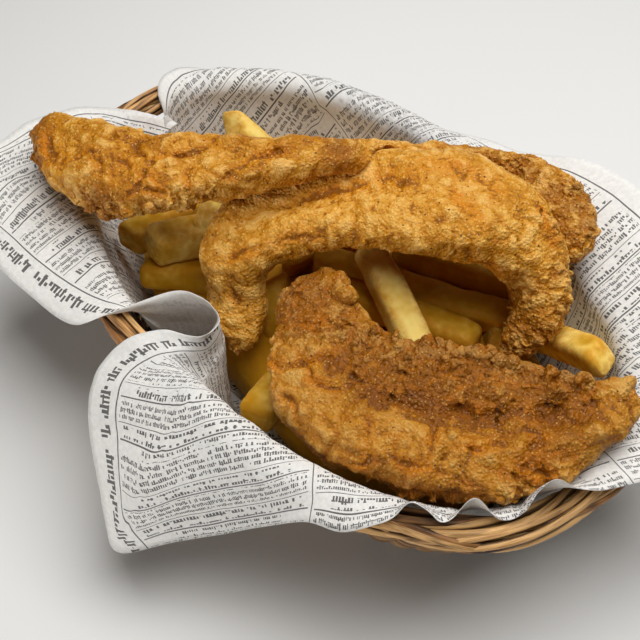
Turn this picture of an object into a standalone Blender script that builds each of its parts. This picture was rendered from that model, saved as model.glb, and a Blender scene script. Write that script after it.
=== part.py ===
"""Oval rattan basket of fried catfish: woven basket, printed paper liner, heap of fries and three fillets.

Sizes are in millimetres here and become metres where a mesh is made. The origin is the middle of the
basket's foot on the table, +X runs along the basket and +Z is up."""

import math
import random

import bmesh
import bpy
import numpy as np
from mathutils import Vector, noise
from mathutils.bvhtree import BVHTree

MM = 0.001

# The basket: a hand-woven oval of thin rattan, about 9 3/4 by 6 3/8 inches over its rolled border.
BASKET_LENGTH = 247.0
BASKET_WIDTH = 161.0
ROUNDNESS = 2.2  # exponent of the oval: 2 is an ellipse, more is squarer
BORDER_RADIUS = 6.2
BORDER_HEIGHT = 58.0  # of the border's centre line above the table
FOOT_HALF_LENGTH = 94.0
FOOT_HALF_WIDTH = 52.0
WALL_TUCK = 2.5  # of the wall's top, in under the border
BULGE = 0.028  # the hand-woven oval is fuller here than it should be
BULGE_AT = 200.0
BULGE_SPREAD = 24.0
WALL = 3.2
FLOOR = 4.0
GAP = 0.3  # between pieces that touch
BASKET_COLUMNS = 54
WALL_ROWS = 8
WALL_LEAN = 0.9  # exponent of the wall's spread with height: under 1 is fullest low down
WEAVE_RELIEF = 0.7
FOOT_EDGE = 1.5  # height of the lowest woven row, and the depth left plain at the top
BORDER_STATIONS = 76
BORDER_SIDES = 12
BORDER_STRANDS = 6
BORDER_TURNS = 5
STRAND_RELIEF = 0.7

BORDER_HALF_LENGTH = BASKET_LENGTH / 2 - BORDER_RADIUS
BORDER_HALF_WIDTH = BASKET_WIDTH / 2 - BORDER_RADIUS
WALL_TOP = BORDER_HEIGHT - BORDER_RADIUS - GAP - 0.1

# The liner: one sheet of printed deli paper, thickened so that it is a solid.
PAPER = 0.6
PAPER_LIFT = 0.55  # from the floor and wall to the middle of the sheet
PAPER_ROUND = 8.7  # of the sheet's bend over the border
FLOOR_PART = 0.88  # of the floor that the sheet lies flat on
HEEL_HEIGHT = 16.0
HEEL_IN = 2.5  # of the sheet's bend from the floor to the wall
HEEL_INSET = 0.3  # share of a row's inset at the heel
LIP_LIFT = -14.0
ON_BORDER_FROM = math.radians(-80)
ON_BORDER_AT = (0.12, 0.56, 1)  # of the bend that lies on the border
CREST_INSIDE = (-6.0, -2.0)  # reaches of a crest that stands free of the border, and of one laid on it
BELLY = 0.06  # upward bow of a flap, for each millimetre from border to edge
# Each row follows the sheet from the floor to its edge at one bearing: bearing on the floor and wall in
# degrees; how far the sheet stands in from the wall; reach and lift of its crest, out from the border's
# centre line and up from the border's top; then bearing, reach and lift of its edge.
LINER_ROWS = (
    (274.5, 0, 0, 1.4, 278, 44, -40),
    (280, 0, 0, 1.4, 282, 33, -34),
    (286, 0, 0, 1.4, 286, 24, -30),
    (292, 0, 0, 1.4, 291, 16, -24),
    (298, 0, -1, 1.4, 297, 12, -12),
    (303, 0, 0, 1.4, 302, 9.8, -3),
    (307, 0, 0, 1, 307, 9.6, -3.4),
    (311, 0, 0, 0, 311, 6.5, 1.2),
    (315, 0, 0, 0, 315, 2, 3),
    (317.5, 0, 0, 2, 317, 0, 11),
    (321, 0, 0, -1, 321, 0, 6),
    (324, 0, 0, -2, 324, 1, 2),
    (328.5, 0, 0, 3, 328, -3, 13),
    (332, 0, 0, 0, 331.5, -2, 8),
    (334.5, 0, 0, -2, 334.5, -0.5, 2.5),
    (338.5, 0, 0, -2, 338, 0, 2),
    (342, 0, 0, 1, 341.5, -1, 9),
    (345.5, 0, 0, 5, 345, -3, 17),
    (349, 0, 0, 2, 349, 0, 13),
    (353, 0, 0, 0, 353, 1, 6.5),
    (358, 0, 0, 0, 358, 4, 3.5),
    (364, 0, 0, 1, 363, 9, 3),
    (371, 0, 0, 1.4, 370, 19, 3),
    (379, 0, 0, 1.6, 379, 33, 1),
    (387, 0, 0, 2, 387, 49, -3),
    (395, 0, 0, 2.4, 395, 44, 2),
    (404, 0, 0, 2.8, 404, 36, 7),
    (414, 0, 0, 3, 414, 30, 11),
    (424, 0, 0, 3, 424, 27, 13),
    (433, 0, 0, 2.4, 433, 24, 13),
    (440, 0, 0, 1.6, 440, 18, 10),
    (446, 0, 0, 1.4, 446, 13, 4),
    (453, 0, 0, 1.4, 454, 12, -3),
    (462, 0, 0, 1.4, 464, 13.5, -14),
    (474, 0, 0, 1.4, 477, 15, -31),
    (487, 0, 0, 1.4, 489, 16, -46),
    (500, 0, 0, 1.4, 500, 16.5, -38),
    (512, 0, 0, 1.4, 511, 15.5, -24),
    (521, 0, 0, 1.4, 519, 13.5, -9),
    (527, 0, -1, 1.6, 526, 9.5, 0.5),
    (532, 0, -4, 1, 532, 5, 2.8),
    (536, 0, -8, -1, 536.5, 0, 2),
    (539, 0, -10, -4, 538.5, -7.5, -3),
    (541, 2, -13, -9, 537.5, -10.5, -8),
    (543.5, 3, -15, -13, 535.5, -13.5, -10),
    (547, 2, -13, -10, 540, -8.5, -6),
    (551, 1, -10, -4, 546, -5, 0),
    (556, 0, -5, 1, 552, 5, 2.5),
    (561, 0, -2, 1.6, 558, 12, 5),
    (567, 0, 0, 2, 565, 20, 8),
    (573, 0, 0, 2, 573, 28, 9),
    (580, 0, 0, 2, 579, 47, 3),
    (587, 0, 0, 1.8, 586, 44, 0),
    (593, 0, 0, 1.4, 592, 34, -2),
    (599, 0, 0, 1.4, 598, 30, -2.5),
    (606, 0, 0, 1.4, 605, 23, -4),
    (612, 0, 0, 1.4, 612, 17, -5),
    (615.5, 1, -1, 1.4, 615, 12.5, -3),
    (618, 2, -3, 1.4, 617, 7.5, 1.6),
    (619.5, 5, -7, 2, 618.5, -0.5, 4.5),
    (621, 9, -13, 3, 619.5, -10, 5.5),
    (622.5, 14, -20, 3, 621, -19, 6.5),
    (624, 17, -24, 1.5, 624, -23.5, 6.5),
    (625.5, 18, -26, 1.5, 626.5, -24.5, 6.5),
    (627, 18, -26, 1.5, 628.7, -24, 6.5),
    (628.2, 17, -25, 1, 630, -22, 6.5),
    (629.2, 15, -22, 1, 630.3, -18.5, 6),
    (630, 11, -17, 1, 630, -14, 5.5),
    (630.6, 8, -13, 1, 628.3, -11, 5),
    (631.2, 5, -10, 1, 626, -8, 4.7),
    (631.8, 2, -6, 1.2, 624.3, -3.5, 3),
    (632.4, 0, -3, 1.4, 623.3, 2, 2.6),
    (633, 0, -1, 1.4, 622.5, 9, -1),
    (633.4, 0, 0, 1.4, 622.6, 15, -6),
    (633.7, 0, 0, 1.4, 624, 21, -11),
    (633.9, 0, 0, 1.4, 627, 28, -17),
    (634.1, 0, 0, 1.4, 631, 34, -24),
    (634.3, 0, 0, 1.4, 635, 40, -33),
)

# Each fillet is a thick, curling ribbon. A row is its middle x, y, z; its width; the compass bearing and
# tilt of the line across it, in degrees; its thickness; then where across it a furrow runs, from -1 at
# the near edge to 1 at the far one, and how deep.
BACK_ROWS = (
    (-102, -58, 76, 22, 158, 8, 14, -0.3, 0),
    (-95, -53, 79, 37, 151, 7, 18, -0.4, 2.5),
    (-79, -47, 82, 37, 144, 9, 20, 0.2, 1.5),
    (-63, -40, 85, 33, 141, 10, 20, 0.35, 2.5),
    (-45, -24, 89, 28, 128, 11, 18, 0.1, 2.5),
    (-25, -6, 94, 20, 119, 9, 15, 0, 3),
    (-12, 12, 95, 14, 118, 12, 13, 0, 1),
    (-7, 36, 85, 12, 122, 27, 13, 0, 0),
    (3, 53, 78, 15, 114, 34, 14, 0, 0),
    (20, 64.5, 76, 19, 113, 26, 15, 0, 1),
    (39, 66, 77, 25, 115, 12, 15, 0, 2),
    (53, 63.5, 76, 25, 110, 8, 14, 0, 1),
    (62.5, 59, 73, 15, 95, 8, 11, 0, 0),
)
ARCH_ROWS = (
    (-4, -43, 42, 12, 202, 0, 11, 0, 0),
    (-10, -39, 48, 20, 211, 0, 13, 0, 0),
    (-17, -34, 54, 22, 210, 0, 15, 0, 0.5),
    (-21, -31, 63, 24, 202, -2, 16, 0, 1),
    (-22, -25, 70, 31, 192, -5, 17, 0, 2),
    (-20, -16, 75, 39, 180, -8, 17, 0, 4),
    (-14, -5, 79, 43, 171, -7, 17, 0.1, 6),
    (-2, 8, 84, 44, 157, -1, 18, 0.2, 5),
    (13, 21, 88, 44, 147, 3, 19, 0.2, 3),
    (26, 33, 87, 45, 141, 4, 20, 0, 1),
    (40, 42, 82, 38, 127, 6, 21, 0, 0),
    (54, 42, 73, 24, 98, 14, 20, 0, 0),
    (63.2, 35, 65, 20, 62, 13, 17, 0, 0),
    (66.8, 27.4, 58, 19, 49, 8, 14, 0, 0),
    (66, 23, 53, 12, 50, 8, 11, 0, 0),
)
FRONT_ROWS = (
    (6, -30, 63, 26, 125, 10, 13, 0, 0),
    (15, -32, 64, 48, 119, 10, 17, 0.1, 1),
    (27, -33, 65, 58, 121, 10, 20, 0.3, 2),
    (41, -35, 64, 54, 125, 9, 22, 0.3, 1.5),
    (54, -33, 64, 50, 128, 8, 22, 0.2, 1),
    (66, -26, 65, 51, 130, 8, 21, 0.1, 2),
    (78, -18, 66, 51, 131, 7, 20, 0.2, 3),
    (90, -9, 67, 46, 130, 6, 18, 0.25, 3.5),
    (99, 1, 69.5, 36, 130, 6, 14, 0.2, 3),
    (106, 12, 72.5, 25, 128, 7, 12, 0, 1),
    (112, 22, 73.5, 14, 128, 8, 9, 0, 0),
)
FILLET_STATIONS = 36
FILLET_SIDES = 16
FILLET_SQUARENESS = 0.78
FILLET_TIP = 0.35  # size of the last section of a round end
FILLET_END = 9.0  # length of a round end
FURROW_WIDTH = 0.25  # of half the fillet's width
CRUST_LUMP = 11.0
CRUST_LUMP_HEIGHT = 1.9
CRUST_CRAG = 5.0
CRUST_CRAG_HEIGHT = 1.3

# Fries: square sticks. Those that show lie between two points; the rest of the heap is drawn at random.
FRY = 11.5
SEEN_FRIES = (
    ((-81, 16, 66), (-60, 22, 30), 12.5),
    ((-56, -43, 55), (-44, -4, 47), 15),
    ((-58, -46, 41), (-30, -22, 40), 12),
    ((-46, -23, 62), (-60, 6, 40), 11),
    ((-71, -45, 46.5), (-67, -8, 48), 13),
    ((-16, 3, 48), (38, 31, 43), 12),
    ((4, 26, 50), (50, 51, 45), 12),
    ((0, -3, 46), (50, 22, 43), 12),
    ((5, 9, 67.5), (52, -4, 45), 11.8),
    ((18, 17, 44), (60, 44.5, 43), 12),
    ((-24, -6, 44), (-14, 31, 49), 11.5),
    ((19, -56, 37), (12, -22, 36), 12.5),
    ((-17, -17, 50), (-3, -25, 34), 11.5),
    ((61.5, 26.5, 41.5), (45, 39, 36), 11.5),
    ((91.4, 31.9, 67.5), (55.3, 45.6, 33.4), 10.5),
)
FRY_ROLL = 25.0  # degrees either way
FRY_EDGE = 0.13  # cut off each long edge, as a share of the width
FRY_RINGS = ((0, 0.8), (0.05, 1), (0.5, 0.97), (0.95, 1), (1, 0.8))  # place along, size
FRY_BOW = 0.025
HEAP_IN = 7.5  # of the heap's side, from the wall's middle
# Height, and how much of the room across the basket the packed heart of the heap takes there.
HEAP_RINGS = ((6.2, 0.9), (14, 0.985), (33, 0.985), (39, 0.87), (42, 0.6))
HEAP_COLUMNS = 24
HEAP_FRIES = 17
HEAP_TRIES = 500
HEAP_SPREAD = (74.0, 38.0)  # half length and width of the ground where drawn fries have their middles
HEAP_HEIGHTS = (42.0, 50.0)
HEAP_HALF_LENGTHS = (22.0, 36.0)
HEAP_SLOPE = 0.22
CLEAR = 0.5  # kept between a fry and its neighbours


def oval(bearing, half_length, half_width):
    """Point of the basket's oval at a bearing in radians."""
    c, s = math.cos(bearing), math.sin(bearing)
    power = 2 / ROUNDNESS
    x = half_length * math.copysign(abs(c) ** power, c)
    y = half_width * math.copysign(abs(s) ** power, s)
    off = (math.degrees(bearing) - BULGE_AT + 180) % 360 - 180
    full = 1 + BULGE * math.exp(-((off / BULGE_SPREAD) ** 2))
    return x * full, y * full


def from_border(bearing, reach, lift):
    """Point out from the border's centre line by reach and above the border's top by lift."""
    x, y = oval(math.radians(bearing), BORDER_HALF_LENGTH, BORDER_HALF_WIDTH)
    nx = math.copysign(abs(x / BORDER_HALF_LENGTH) ** (ROUNDNESS - 1), x) / BORDER_HALF_LENGTH
    ny = math.copysign(abs(y / BORDER_HALF_WIDTH) ** (ROUNDNESS - 1), y) / BORDER_HALF_WIDTH
    size = math.hypot(nx, ny)
    return x + reach * nx / size, y + reach * ny / size, BORDER_HEIGHT + BORDER_RADIUS + lift


def through(rows, steps):
    """Rows of a Catmull-Rom curve through the given rows, steps of them for each span."""
    rows = np.asarray(rows, float)
    last = len(rows) - 1
    found = []
    for i in range(last):
        a, b, c, d = (rows[min(max(i + k, 0), last)] for k in (-1, 0, 1, 2))
        for k in range(steps):
            t = k / steps
            found.append(
                b + 0.5 * t * (c - a + t * (2 * a - 5 * b + 4 * c - d + t * (3 * (b - c) + d - a)))
            )
    found.append(rows[-1])
    return np.array(found)


def evenly(points, count):
    """Parameters that space count samples evenly along a dense row of points."""
    run = np.concatenate([[0], np.cumsum(np.linalg.norm(np.diff(points, axis=0), axis=1))])
    return np.interp(np.linspace(0, run[-1], count), run, np.arange(len(points)))


def material(name, colour, roughness):
    made = bpy.data.materials.new(name)
    made.use_nodes = True
    surface = made.node_tree.nodes["Principled BSDF"]
    surface.inputs["Base Color"].default_value = (*colour, 1)
    surface.inputs["Roughness"].default_value = roughness
    surface.inputs["Metallic"].default_value = 0
    return made


def solid(name, points, faces, made_of=None):
    """A mesh object from points in millimetres, its faces turned outwards."""
    mesh = bpy.data.meshes.new(name)
    mesh.from_pydata([Vector(p) * MM for p in points], [], faces)
    bm = bmesh.new()
    bm.from_mesh(mesh)
    bmesh.ops.recalc_face_normals(bm, faces=bm.faces)
    bmesh.ops.triangulate(bm, faces=bm.faces)
    bm.to_mesh(mesh)
    bm.free()
    if made_of:
        mesh.materials.append(made_of)
    mesh.shade_smooth()
    mesh.set_sharp_from_angle(angle=math.radians(50))
    piece = bpy.data.objects.new(name, mesh)
    bpy.context.scene.collection.objects.link(piece)
    return piece


def closed_loft(rings):
    """Points and faces of rings of equal count, each end closed by a fan to its middle."""
    sides = len(rings[0])
    points = [tuple(p) for ring in rings for p in ring]
    faces = []
    for i in range(len(rings) - 1):
        for k in range(sides):
            m = (k + 1) % sides
            faces.append((i * sides + k, i * sides + m, (i + 1) * sides + m, (i + 1) * sides + k))
    for i in (0, len(rings) - 1):
        points.append(tuple(np.mean(rings[i], axis=0)))
        for k in range(sides):
            faces.append((i * sides + k, i * sides + (k + 1) % sides, len(points) - 1))
    return points, faces


def wall_half_sizes(height):
    """Half length and half width of the wall's middle at a height above the table."""
    rise = min(height / WALL_TOP, 1) ** WALL_LEAN
    return (
        FOOT_HALF_LENGTH + (BORDER_HALF_LENGTH - WALL_TUCK - FOOT_HALF_LENGTH) * rise,
        FOOT_HALF_WIDTH + (BORDER_HALF_WIDTH - WALL_TUCK - FOOT_HALF_WIDTH) * rise,
    )


def oval_ring(height, outwards, columns):
    length, width = wall_half_sizes(height)
    ring = []
    for k in range(columns):
        x, y = oval(2 * math.pi * k / columns, length + outwards, width + outwards)
        ring.append((x, y, height))
    return np.array(ring)


def make_basket():
    """Flat foot, leaning wall with woven relief outside, smooth inside, floor."""
    rings = [oval_ring(0, -WALL / 2, BASKET_COLUMNS), oval_ring(0, WALL / 2 - 1, BASKET_COLUMNS)]
    for row in range(WALL_ROWS):
        height = FOOT_EDGE + (WALL_TOP - 2 * FOOT_EDGE) * row / (WALL_ROWS - 1)
        ring = oval_ring(height, WALL / 2, BASKET_COLUMNS)
        for k in range(BASKET_COLUMNS):
            weave = WEAVE_RELIEF if (k + row) % 2 else -WEAVE_RELIEF
            out = np.array([ring[k][0], ring[k][1], 0])
            ring[k] += weave * out / np.linalg.norm(out)
        rings.append(ring)
    rings.append(oval_ring(WALL_TOP, 0.6, BASKET_COLUMNS))
    for height in (WALL_TOP - 1, WALL_TOP / 2, FLOOR + 2):
        rings.append(oval_ring(height, -WALL / 2, BASKET_COLUMNS))
    rings.append(oval_ring(FLOOR, -WALL / 2 - 2, BASKET_COLUMNS))
    points, faces = closed_loft(rings)
    rattan = material("rattan wall", (0.46, 0.27, 0.12), 0.6)
    return solid("basket", points, faces, rattan)


def make_border():
    """The rolled border: strands laid round it at a long slant."""
    points = []
    for i in range(BORDER_STATIONS):
        bearing = 360 * i / BORDER_STATIONS
        middle = np.array(from_border(bearing, 0, -BORDER_RADIUS))
        out = np.array(from_border(bearing, 1, -BORDER_RADIUS)) - middle
        twist = 2 * math.pi * BORDER_TURNS * i / BORDER_STATIONS / BORDER_STRANDS
        for k in range(BORDER_SIDES):
            angle = 2 * math.pi * k / BORDER_SIDES + twist
            radius = BORDER_RADIUS - (STRAND_RELIEF if k % 2 else 0)
            points.append(middle + radius * (math.cos(angle) * out + math.sin(angle) * np.array((0, 0, 1))))
    faces = []
    shift = 2 * BORDER_TURNS * BORDER_SIDES // (2 * BORDER_STRANDS)
    for i in range(BORDER_STATIONS):
        last = i == BORDER_STATIONS - 1
        for k in range(BORDER_SIDES):
            m = (k + 1) % BORDER_SIDES
            step = shift if last else 0
            j = (i + 1) % BORDER_STATIONS
            faces.append(
                (
                    i * BORDER_SIDES + k,
                    i * BORDER_SIDES + m,
                    j * BORDER_SIDES + (m + step) % BORDER_SIDES,
                    j * BORDER_SIDES + (k + step) % BORDER_SIDES,
                )
            )
    rattan = material("rattan border", (0.52, 0.31, 0.14), 0.55)
    return solid("basket_rim", points, faces, rattan)


def liner_column(row):
    """Points of the sheet from the foot of the wall to its edge, along one row's bearing."""
    bearing, inset, crest_reach, crest_lift, edge_bearing, edge_reach, edge_lift = row
    inner = -WALL / 2 - PAPER_LIFT
    x, y = oval(math.radians(bearing), (FOOT_HALF_LENGTH + inner) * FLOOR_PART, (FOOT_HALF_WIDTH + inner) * FLOOR_PART)
    column = [(x, y, FLOOR + PAPER_LIFT + GAP)]
    length, width = wall_half_sizes(HEEL_HEIGHT)
    away = inner - HEEL_IN - inset * HEEL_INSET
    column.append((*oval(math.radians(bearing), length + away, width + away), HEEL_HEIGHT))
    lip_reach = min(-PAPER_ROUND - inset, crest_reach - 1.5)
    column.append(from_border(bearing, lip_reach, LIP_LIFT))
    # A sheet laid over the border lies on it up to where the straight run to its edge leaves it.
    edge_up = edge_lift + BORDER_RADIUS
    far = max(math.hypot(edge_reach, edge_up), PAPER_ROUND)
    leave = max(math.atan2(edge_reach, edge_up) - math.acos(PAPER_ROUND / far), ON_BORDER_FROM)
    # Where it stands up inside the border instead, it goes through its crest.
    over = min(max((crest_reach - CREST_INSIDE[0]) / (CREST_INSIDE[1] - CREST_INSIDE[0]), 0), 1)
    for part in ON_BORDER_AT:
        angle = ON_BORDER_FROM + (leave - ON_BORDER_FROM) * part
        laid = (PAPER_ROUND * math.sin(angle), PAPER_ROUND * math.cos(angle) - BORDER_RADIUS)
        toward = 1.5 * part
        if toward < 1:
            stood = [(1 - toward) * p + toward * q for p, q in zip((lip_reach, LIP_LIFT), (crest_reach, crest_lift))]
        else:
            stood = [
                (2 - toward) * p + (toward - 1) * q
                for p, q in zip((crest_reach, crest_lift), (edge_reach, edge_lift))
            ]
        reach, lift = (over * p + (1 - over) * q for p, q in zip(laid, stood))
        column.append(from_border(bearing + 0.4 * part * (edge_bearing - bearing), reach, lift))
    belly = BELLY * math.hypot(edge_reach - reach, edge_lift - lift)
    column.append(
        from_border(
            bearing + 0.7 * (edge_bearing - bearing),
            0.5 * (reach + edge_reach),
            0.5 * (lift + edge_lift) + belly,
        )
    )
    column.append(from_border(edge_bearing, edge_reach, edge_lift))
    return np.array(column)


def make_liner():
    """One wavy sheet: floor, wall, over the border, flaps. Both faces are split alike."""
    columns = np.array([liner_column(row) for row in LINER_ROWS])
    count, depth = columns.shape[:2]
    along = np.roll(columns, -1, axis=0) - np.roll(columns, 1, axis=0)
    outward = np.gradient(columns, axis=1)
    normals = np.cross(outward, along)
    normals /= np.linalg.norm(normals, axis=2, keepdims=True)
    middle = np.array((0, 0, FLOOR + PAPER_LIFT))
    points, faces = [], []
    for side in (1, -1):
        start = len(points)
        points.extend((columns - side * normals * PAPER / 2).reshape(-1, 3))
        points.append(middle + np.array((0, 0, side * PAPER / 2)))
        for i in range(count):
            j = (i + 1) % count
            a, b = start + i * depth, start + j * depth
            faces.append((a, b, len(points) - 1))
            for k in range(depth - 1):
                faces.append((a + k, a + k + 1, b + k + 1))
                faces.append((a + k, b + k + 1, b + k))
    other = count * depth + 1
    for i in range(count):
        a, b = i * depth + depth - 1, (i + 1) % count * depth + depth - 1
        faces.append((a, b, other + b, other + a))
    paper = material("printed paper", (0.72, 0.7, 0.67), 0.7)
    return solid("liner", points, faces, paper)


def make_fillet(name, rows, seed):
    """A battered fillet swept through its rows, with round ends, a furrow and a lumpy crust."""
    dense = through(rows, 12)
    picks = evenly(dense[:, :3], FILLET_STATIONS)
    rows = np.array([[np.interp(p, np.arange(len(dense)), dense[:, c]) for c in range(9)] for p in picks])
    middle = rows[:, :3]
    tangent = np.gradient(middle, axis=0)
    tangent /= np.linalg.norm(tangent, axis=1, keepdims=True)
    turn, tilt = np.radians(rows[:, 4]), np.radians(rows[:, 5])
    across = np.stack([np.cos(turn) * np.cos(tilt), np.sin(turn) * np.cos(tilt), np.sin(tilt)], axis=1)
    up = np.cross(tangent, across)
    up /= np.linalg.norm(up, axis=1, keepdims=True)
    run = np.concatenate([[0], np.cumsum(np.linalg.norm(np.diff(middle, axis=0), axis=1))])
    rings = []
    for i, row in enumerate(rows):
        width, thick, furrow_at, furrow = row[3], row[6], row[7], row[8]
        to_end = min(1, min(run[i], run[-1] - run[i]) / FILLET_END)
        taper = FILLET_TIP + (1 - FILLET_TIP) * math.sqrt(to_end * (2 - to_end))
        ring = []
        for k in range(FILLET_SIDES):
            angle = 2 * math.pi * k / FILLET_SIDES
            c, s = math.cos(angle), math.sin(angle)
            u = math.copysign(abs(c) ** FILLET_SQUARENESS, c)
            v = math.copysign(abs(s) ** FILLET_SQUARENESS, s)
            rise = v * thick / 2
            if v > 0:
                rise -= furrow * math.exp(-(((u - furrow_at) / FURROW_WIDTH) ** 2))
            ring.append(middle[i] + taper * (u * width / 2 * across[i] + rise * up[i]))
        rings.append(np.array(ring))
    for i, ring in enumerate(rings):
        heart = ring.mean(axis=0)
        for k in range(FILLET_SIDES):
            out = ring[k] - heart
            out /= np.linalg.norm(out)
            where = Vector(ring[k]) + Vector((seed, 0, 0))
            lump = noise.noise(where / CRUST_LUMP) * CRUST_LUMP_HEIGHT
            crag = noise.noise(where / CRUST_CRAG) * CRUST_CRAG_HEIGHT
            ring[k] += (lump + crag) * out
    points, faces = closed_loft(rings)
    crust = material("crust " + name, (0.55, 0.28, 0.08), 0.5)
    return solid(name, points, faces, crust)


def fry_mesh(start, end, width, roll):
    """Points and faces of one square-cut fry with softened edges, slightly bowed and uneven."""
    start, end = np.array(start, float), np.array(end, float)
    axis = end - start
    length = np.linalg.norm(axis)
    axis /= length
    side = np.cross(axis, (0, 0, 1))
    side /= np.linalg.norm(side)
    top = np.cross(side, axis)
    side, top = math.cos(roll) * side + math.sin(roll) * top, math.cos(roll) * top - math.sin(roll) * side
    half, cut = width / 2, width * FRY_EDGE
    outline = (
        (half, -half + cut), (half, half - cut), (half - cut, half), (-half + cut, half),
        (-half, half - cut), (-half, -half + cut), (-half + cut, -half), (half - cut, -half),
    )
    rings = []
    for part, size in FRY_RINGS:
        bow = FRY_BOW * length * math.sin(math.pi * part)
        at = start + axis * length * part + top * bow
        rings.append([at + size * (u * side + v * top) for u, v in outline])
    return closed_loft(rings)


def tree_of(piece):
    """Search tree of an object's triangles, in millimetres."""
    mesh = piece.data
    points = [v.co / MM for v in mesh.vertices]
    return BVHTree.FromPolygons(points, [tuple(p.vertices) for p in mesh.polygons])


def make_heart():
    """The packed middle of the heap, which keeps in from the paper where that is pinched inwards."""
    rings = []
    for height, part in HEAP_RINGS:
        length, width = wall_half_sizes(height)
        ring = []
        for k in range(HEAP_COLUMNS):
            bearing = 360 * k / HEAP_COLUMNS
            near = [row[1] for row in LINER_ROWS if abs((row[0] - bearing + 180) % 360 - 180) < 360 / HEAP_COLUMNS]
            inner = HEAP_IN + max(near) * min(height / BORDER_HEIGHT * 1.3, 1)
            x, y = oval(math.radians(bearing), (length - inner) * part, (width - inner) * part)
            ring.append((x, y, height))
        rings.append(ring)
    return solid("fries", *closed_loft(rings), material("fried potato", (0.62, 0.4, 0.12), 0.5))


def make_fries(neighbours):
    """A heap: its packed heart with whole fries fused on, each clear of the paper and the fish."""
    heart = make_heart()
    kept_clear = [tree_of(piece) for piece in neighbours]
    heap = [tree_of(heart)]
    draw = random.Random(7)
    extra = bpy.data.collections.new("fries to fuse")
    bpy.context.scene.collection.children.link(extra)

    def lay(start, end, width):
        roll = math.radians(draw.uniform(-FRY_ROLL, FRY_ROLL))
        points, faces = fry_mesh(start, end, width + 2 * CLEAR, roll)
        room = BVHTree.FromPolygons([Vector(p) for p in points], faces)
        if any(tree.overlap(room) for tree in kept_clear) or not any(tree.overlap(room) for tree in heap):
            return False
        fry = solid("fry", *fry_mesh(start, end, width, roll))
        bpy.context.scene.collection.objects.unlink(fry)
        extra.objects.link(fry)
        heap.append(tree_of(fry))
        return True

    for start, end, width in SEEN_FRIES:
        lay(start, end, width)
    laid = 0
    for _ in range(HEAP_TRIES):
        if laid == HEAP_FRIES:
            break
        around, out = draw.uniform(0, 2 * math.pi), math.sqrt(draw.random())
        middle = np.array(
            (
                HEAP_SPREAD[0] * out * math.cos(around),
                HEAP_SPREAD[1] * out * math.sin(around),
                draw.uniform(*HEAP_HEIGHTS),
            )
        )
        heading, slope = draw.uniform(0, math.pi), draw.uniform(-HEAP_SLOPE, HEAP_SLOPE)
        run = np.array((math.cos(heading) * math.cos(slope), math.sin(heading) * math.cos(slope), math.sin(slope)))
        half = draw.uniform(*HEAP_HALF_LENGTHS) * run
        laid += lay(middle - half, middle + half, FRY + draw.uniform(-1, 1))
    fuse = heart.modifiers.new("fuse", "BOOLEAN")
    fuse.operation = "UNION"
    fuse.operand_type = "COLLECTION"
    fuse.collection = extra
    fuse.solver = "EXACT"
    apply_modifiers(heart)
    for fry in list(extra.objects):
        bpy.data.objects.remove(fry)
    bpy.data.collections.remove(extra)
    keep_largest(heart)


def apply_modifiers(piece):
    graph = bpy.context.evaluated_depsgraph_get()
    done = bpy.data.meshes.new_from_object(piece.evaluated_get(graph))
    piece.modifiers.clear()
    piece.data = done


def keep_largest(piece):
    """Drops the loose scraps that a cut leaves."""
    bm = bmesh.new()
    bm.from_mesh(piece.data)
    left, islands = set(bm.verts), []
    while left:
        island, edge = set(), [left.pop()]
        while edge:
            point = edge.pop()
            island.add(point)
            for link in point.link_edges:
                other = link.other_vert(point)
                if other in left:
                    left.remove(other)
                    edge.append(other)
        islands.append(island)
    islands.sort(key=len)
    for island in islands[:-1]:
        bmesh.ops.delete(bm, geom=list(island), context="VERTS")
    bm.to_mesh(piece.data)
    bm.free()


def cut_clear(piece, neighbour, gap):
    """Cuts from a piece whatever lies in its neighbour or within the gap round it."""
    cutter = neighbour.copy()
    cutter.data = neighbour.data.copy()
    bpy.context.scene.collection.objects.link(cutter)
    offsets = [v.normal * gap * MM for v in cutter.data.vertices]
    for point, offset in zip(cutter.data.vertices, offsets):
        point.co += offset
    cut = piece.modifiers.new("clear", "BOOLEAN")
    cut.operation = "DIFFERENCE"
    cut.object = cutter
    cut.solver = "EXACT"
    bpy.context.view_layer.update()
    apply_modifiers(piece)
    bpy.data.objects.remove(cutter)
    keep_largest(piece)


for old in list(bpy.data.objects):
    bpy.data.objects.remove(old)
make_basket()
make_border()
liner = make_liner()
back = make_fillet("fillet_back", BACK_ROWS, 0)
arch = make_fillet("fillet_arch", ARCH_ROWS, 400)
front = make_fillet("fillet_front", FRONT_ROWS, 800)
cut_clear(back, arch, GAP)
cut_clear(front, liner, GAP)
make_fries((liner, back, arch, front))
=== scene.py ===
"""A rattan basket of fried catfish and fries on printed paper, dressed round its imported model.

Sizes are in millimetres in the basket's own frame: the origin is the middle of its foot on the table, +X runs
along the basket and +Z is up. They become metres where a mesh is made."""

import math
import random

import bmesh
import bpy
import numpy as np
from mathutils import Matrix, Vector, noise
from mathutils.bvhtree import BVHTree


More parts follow.
